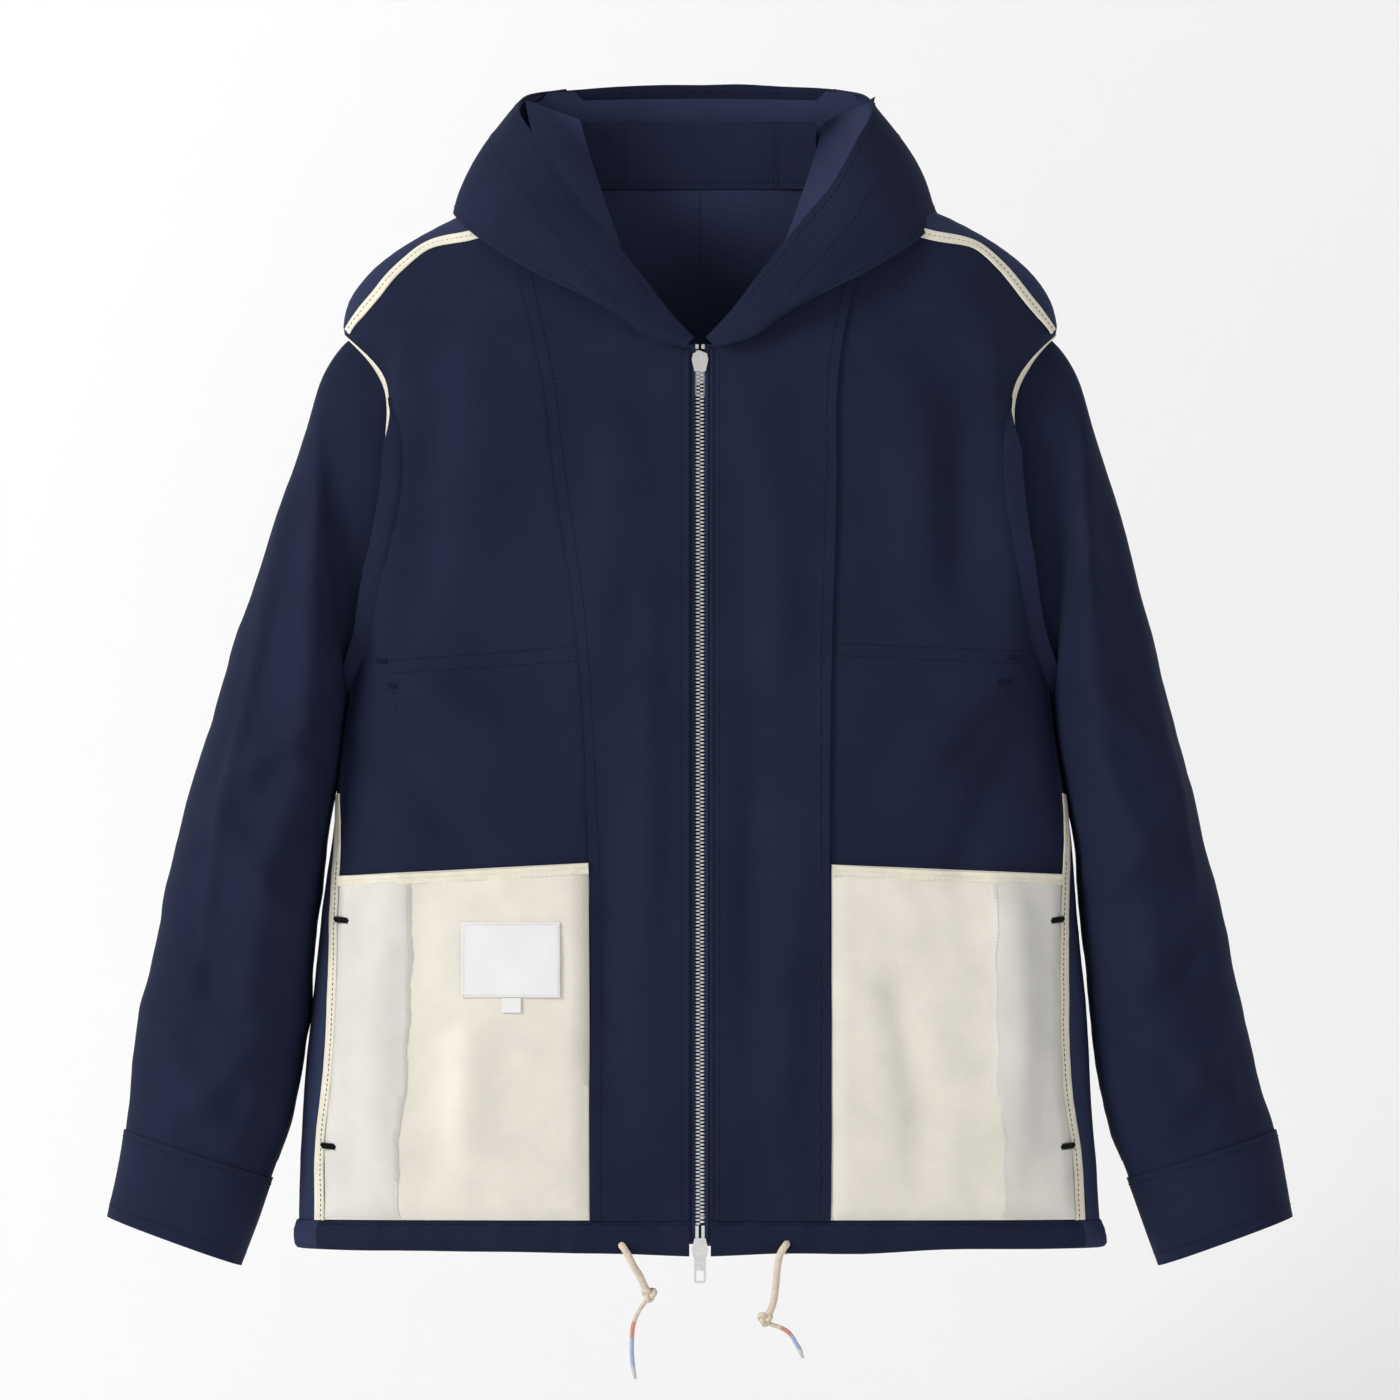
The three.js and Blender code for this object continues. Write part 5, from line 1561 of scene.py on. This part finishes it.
def sleeve_rings(fuller=0):
    """Each ring: outer x, z, inner x, z, half depth. Fuller is 1 on the wearer's right and -1 on the left."""

    def outer(z):
        share = clamp((SHOULDER_EDGE[1] - z) / (SLEEVE_DROP - 217))
        bow = (SLEEVE_FULL + 5 * fuller) * math.sin(math.pi * min(1, share * 1.02))
        return mix(SHOULDER_EDGE[0], SLEEVE_END_X + CUFF_OUT + 3 * fuller, share) + bow

    def inner(z):
        return float(half_width(z)) + mix(0.8, SLEEVE_CLEAR, clamp((-385 - z) / 50))

    half = CUFF_WIDTH / 2
    x, z = math.cos(CUFF_TILT) * half, math.sin(CUFF_TILT) * half
    end = [SLEEVE_END_X + x, -SLEEVE_DROP + z, SLEEVE_END_X - x, -SLEEVE_DROP - z, CUFF_HALF_DEPTH]
    lean = CUFF_TILT * 0.54
    back, up = -math.sin(lean) * CUFF_LENGTH, math.cos(lean) * CUFF_LENGTH
    start = [end[0] + back, end[1] + up, end[2] + 1.9 * back, end[3] + up, 47]
    under = ARMPIT_Z - 12
    rings = [
        [190, ARMHOLE_TOP_Z, 186, ARMPIT_Z, ARMHOLE_HALF_DEPTH],
        [255, ARMHOLE_TOP_Z + 2, 236, ARMPIT_Z, ARMHOLE_HALF_DEPTH],
        [272, -110, inner(ARMPIT_Z), ARMPIT_Z - 4, ARMHOLE_HALF_DEPTH + 1],
        [285, -152, inner(under), under, 44],
    ]
    for high, low, depth in (
        (-205, -362, 52),
        (-270, -390, 56),
        (-350, -430, 57),
        (-440, -490, 55),
        (-540, -570, 52),
    ):
        rings.append([outer(high), high, inner(low), low, depth])
    rings.append([outer(-610), -610, 294, -640, 49])
    return np.array([*rings, start, end], float)


SLEEVE_GAIN = 2.5
SLEEVE_FOLDS = [
    (293, -165, 376, -590, 5, 1.7),
    (262, -150, 300, -420, 12, 3.6),
    (282, -150, 330, -380, 12, -2.6),
    (265, -330, 350, -420, 11, 3.0),
    (268, -360, 340, -500, 12, 2.6),
    (355, -400, 290, -520, 12, 2.2),
    (300, -430, 360, -640, 15, 2.8),
    (375, -480, 330, -600, 13, -2.4),
    (300, -560, 390, -660, 11, 2.2),
    (395, -560, 330, -690, 12, 2.0),
    (320, -600, 345, -690, 9, 1.8),
    (385, -620, 370, -690, 9, 1.6),
]
plain_rings = sleeve_rings()
ring_middles = (plain_rings[:, :2] + plain_rings[:, 2:4]) / 2
SLEEVE_KNOTS = lengths(ring_middles) / lengths(ring_middles)[-1]
CUFF_SHARE = SLEEVE_KNOTS[-2]


def sleeve(side):
    """A surface round the sleeve: [turn, share down] and a lift become points in space."""
    rings = sleeve_rings(-side)

    def place(flat, lift):
        turn, share = np.asarray(flat, float).T
        x0, z0, x1, z1, depth = curved(rings, share, SLEEVE_KNOTS).T
        half = np.hypot(x0 - x1, z0 - z1) / 2
        ax, az = (x0 - x1) / 2 / half, (z0 - z1) / 2 / half
        mx, mz = (x0 + x1) / 2, (z0 + z1) / 2
        flatness = np.abs(np.sin(turn))
        cos, sin = signed_power(np.cos(turn), 0.85), signed_power(np.sin(turn), 0.85)
        x, z = mx + ax * half * cos, mz + az * half * cos
        seed = 91 if side > 0 else 95
        shift = 14 if side > 0 else -6
        made = folds(x, z + shift * np.sign(sin), SLEEVE_FOLDS) * np.where(sin < 0, 1, 0.9)
        broad = 1.6 * noise(x + 40 * np.sign(sin), z, 60, seed) + 0.8 * noise(x, z, 27, seed + 1)
        fine = 0.3 * noise(x - 0.4 * z, z, 12, seed + 2)
        free = smooth((share - 0.1) / 0.12) * (1 - 0.75 * smooth((share - CUFF_SHARE + 0.06) / 0.06))
        edge = 1.3 * (1 - flatness) * noise(z, z * 0, 30, seed + 3)
        out = lift + free * (flatness * (SLEEVE_GAIN * made + 1.5 * broad) + fine + edge)
        reach = (half + out) * cos
        return np.stack([side * (mx + ax * reach), ARM_Y + (depth + out) * sin, mz + az * reach], -1)

    return place


def ring_sheet(place, start, stop, low, high, rows, around=96):
    """A tube of cloth, open at both ends."""
    turn = np.linspace(0, 2 * math.pi, around, endpoint=False)
    shares = np.linspace(start, stop, rows)
    grid = np.stack(np.meshgrid(turn, shares), -1).reshape(-1, 2)
    faces = []
    for j in range(rows - 1):
        for i in range(around):
            a, b = j * around + i, j * around + (i + 1) % around
            faces.append((a, b, b + around, a + around))
    return thick(place(grid, low), place(grid, high), faces)


def sleeves():
    for name, side in SIDES:
        place = sleeve(side)
        body = f"sleeve_{name}_body"
        bend = ("torso", body, (side * 0.238, 0.006, -0.20), (side * 0.275, 0.006, -0.20))
        made = ring_sheet(place, 0, CUFF_SHARE + 0.004, 0, CLOTH, 200)
        put(f"sleeve_cloth_{name}", made, navy, instead=[f"sleeve_{name}"], bend=bend)
        made = ring_sheet(place, CUFF_SHARE, 1, 0.6, CLOTH + 1.4, 30)
        put(f"cuff_cloth_{name}", made, navy, body, [f"cuff_{name}"])
        turns = np.linspace(0, 2 * math.pi, 80)
        rows = [
            stitches(place, [(t, CUFF_SHARE + 0.008) for t in turns], CLOTH + 1.5),
            stitches(place, [(t, 0.985) for t in turns], CLOTH + 1.5),
        ]
        put(f"cuff_stitches_{name}", join(rows), navy_thread, body)
        seam = [(math.pi, share) for share in np.linspace(0.3, CUFF_SHARE - 0.02, 30)]
        made = ribbon(place, seam, 1.3, tape_profile(1.2, 0.5))
        put(f"sleeve_seam_{name}", made, navy_painted_bright, bend=bend)


sleeves()

# ---- the hidden run of the drawcord inside the hem


def hidden_cord():
    runs = []
    for name, side in SIDES:
        start = front([(abs(EXITS[name]) + 14, HEM_Z)])[0][0]
        away = np.linspace(start, float(round_at(HEM_Z)), 90)
        flat = np.stack([away, np.full(90, HEM_Z + 13.5)], -1)
        run = on_body(side)(flat, 0.6)
        leaving = [(EXITS[name], CORD_Y, HEM_Z + up) for up in (0.8, 6)]
        runs.append(np.vstack([leaving, run]))
    line = straight(np.vstack([runs[0], runs[1][::-1][1:]]), 500)
    made = tube(braided(line, CORD * 0.9, around=10))
    put("drawcord_run", made, braid, instead=["drawcord"])


hidden_cord()
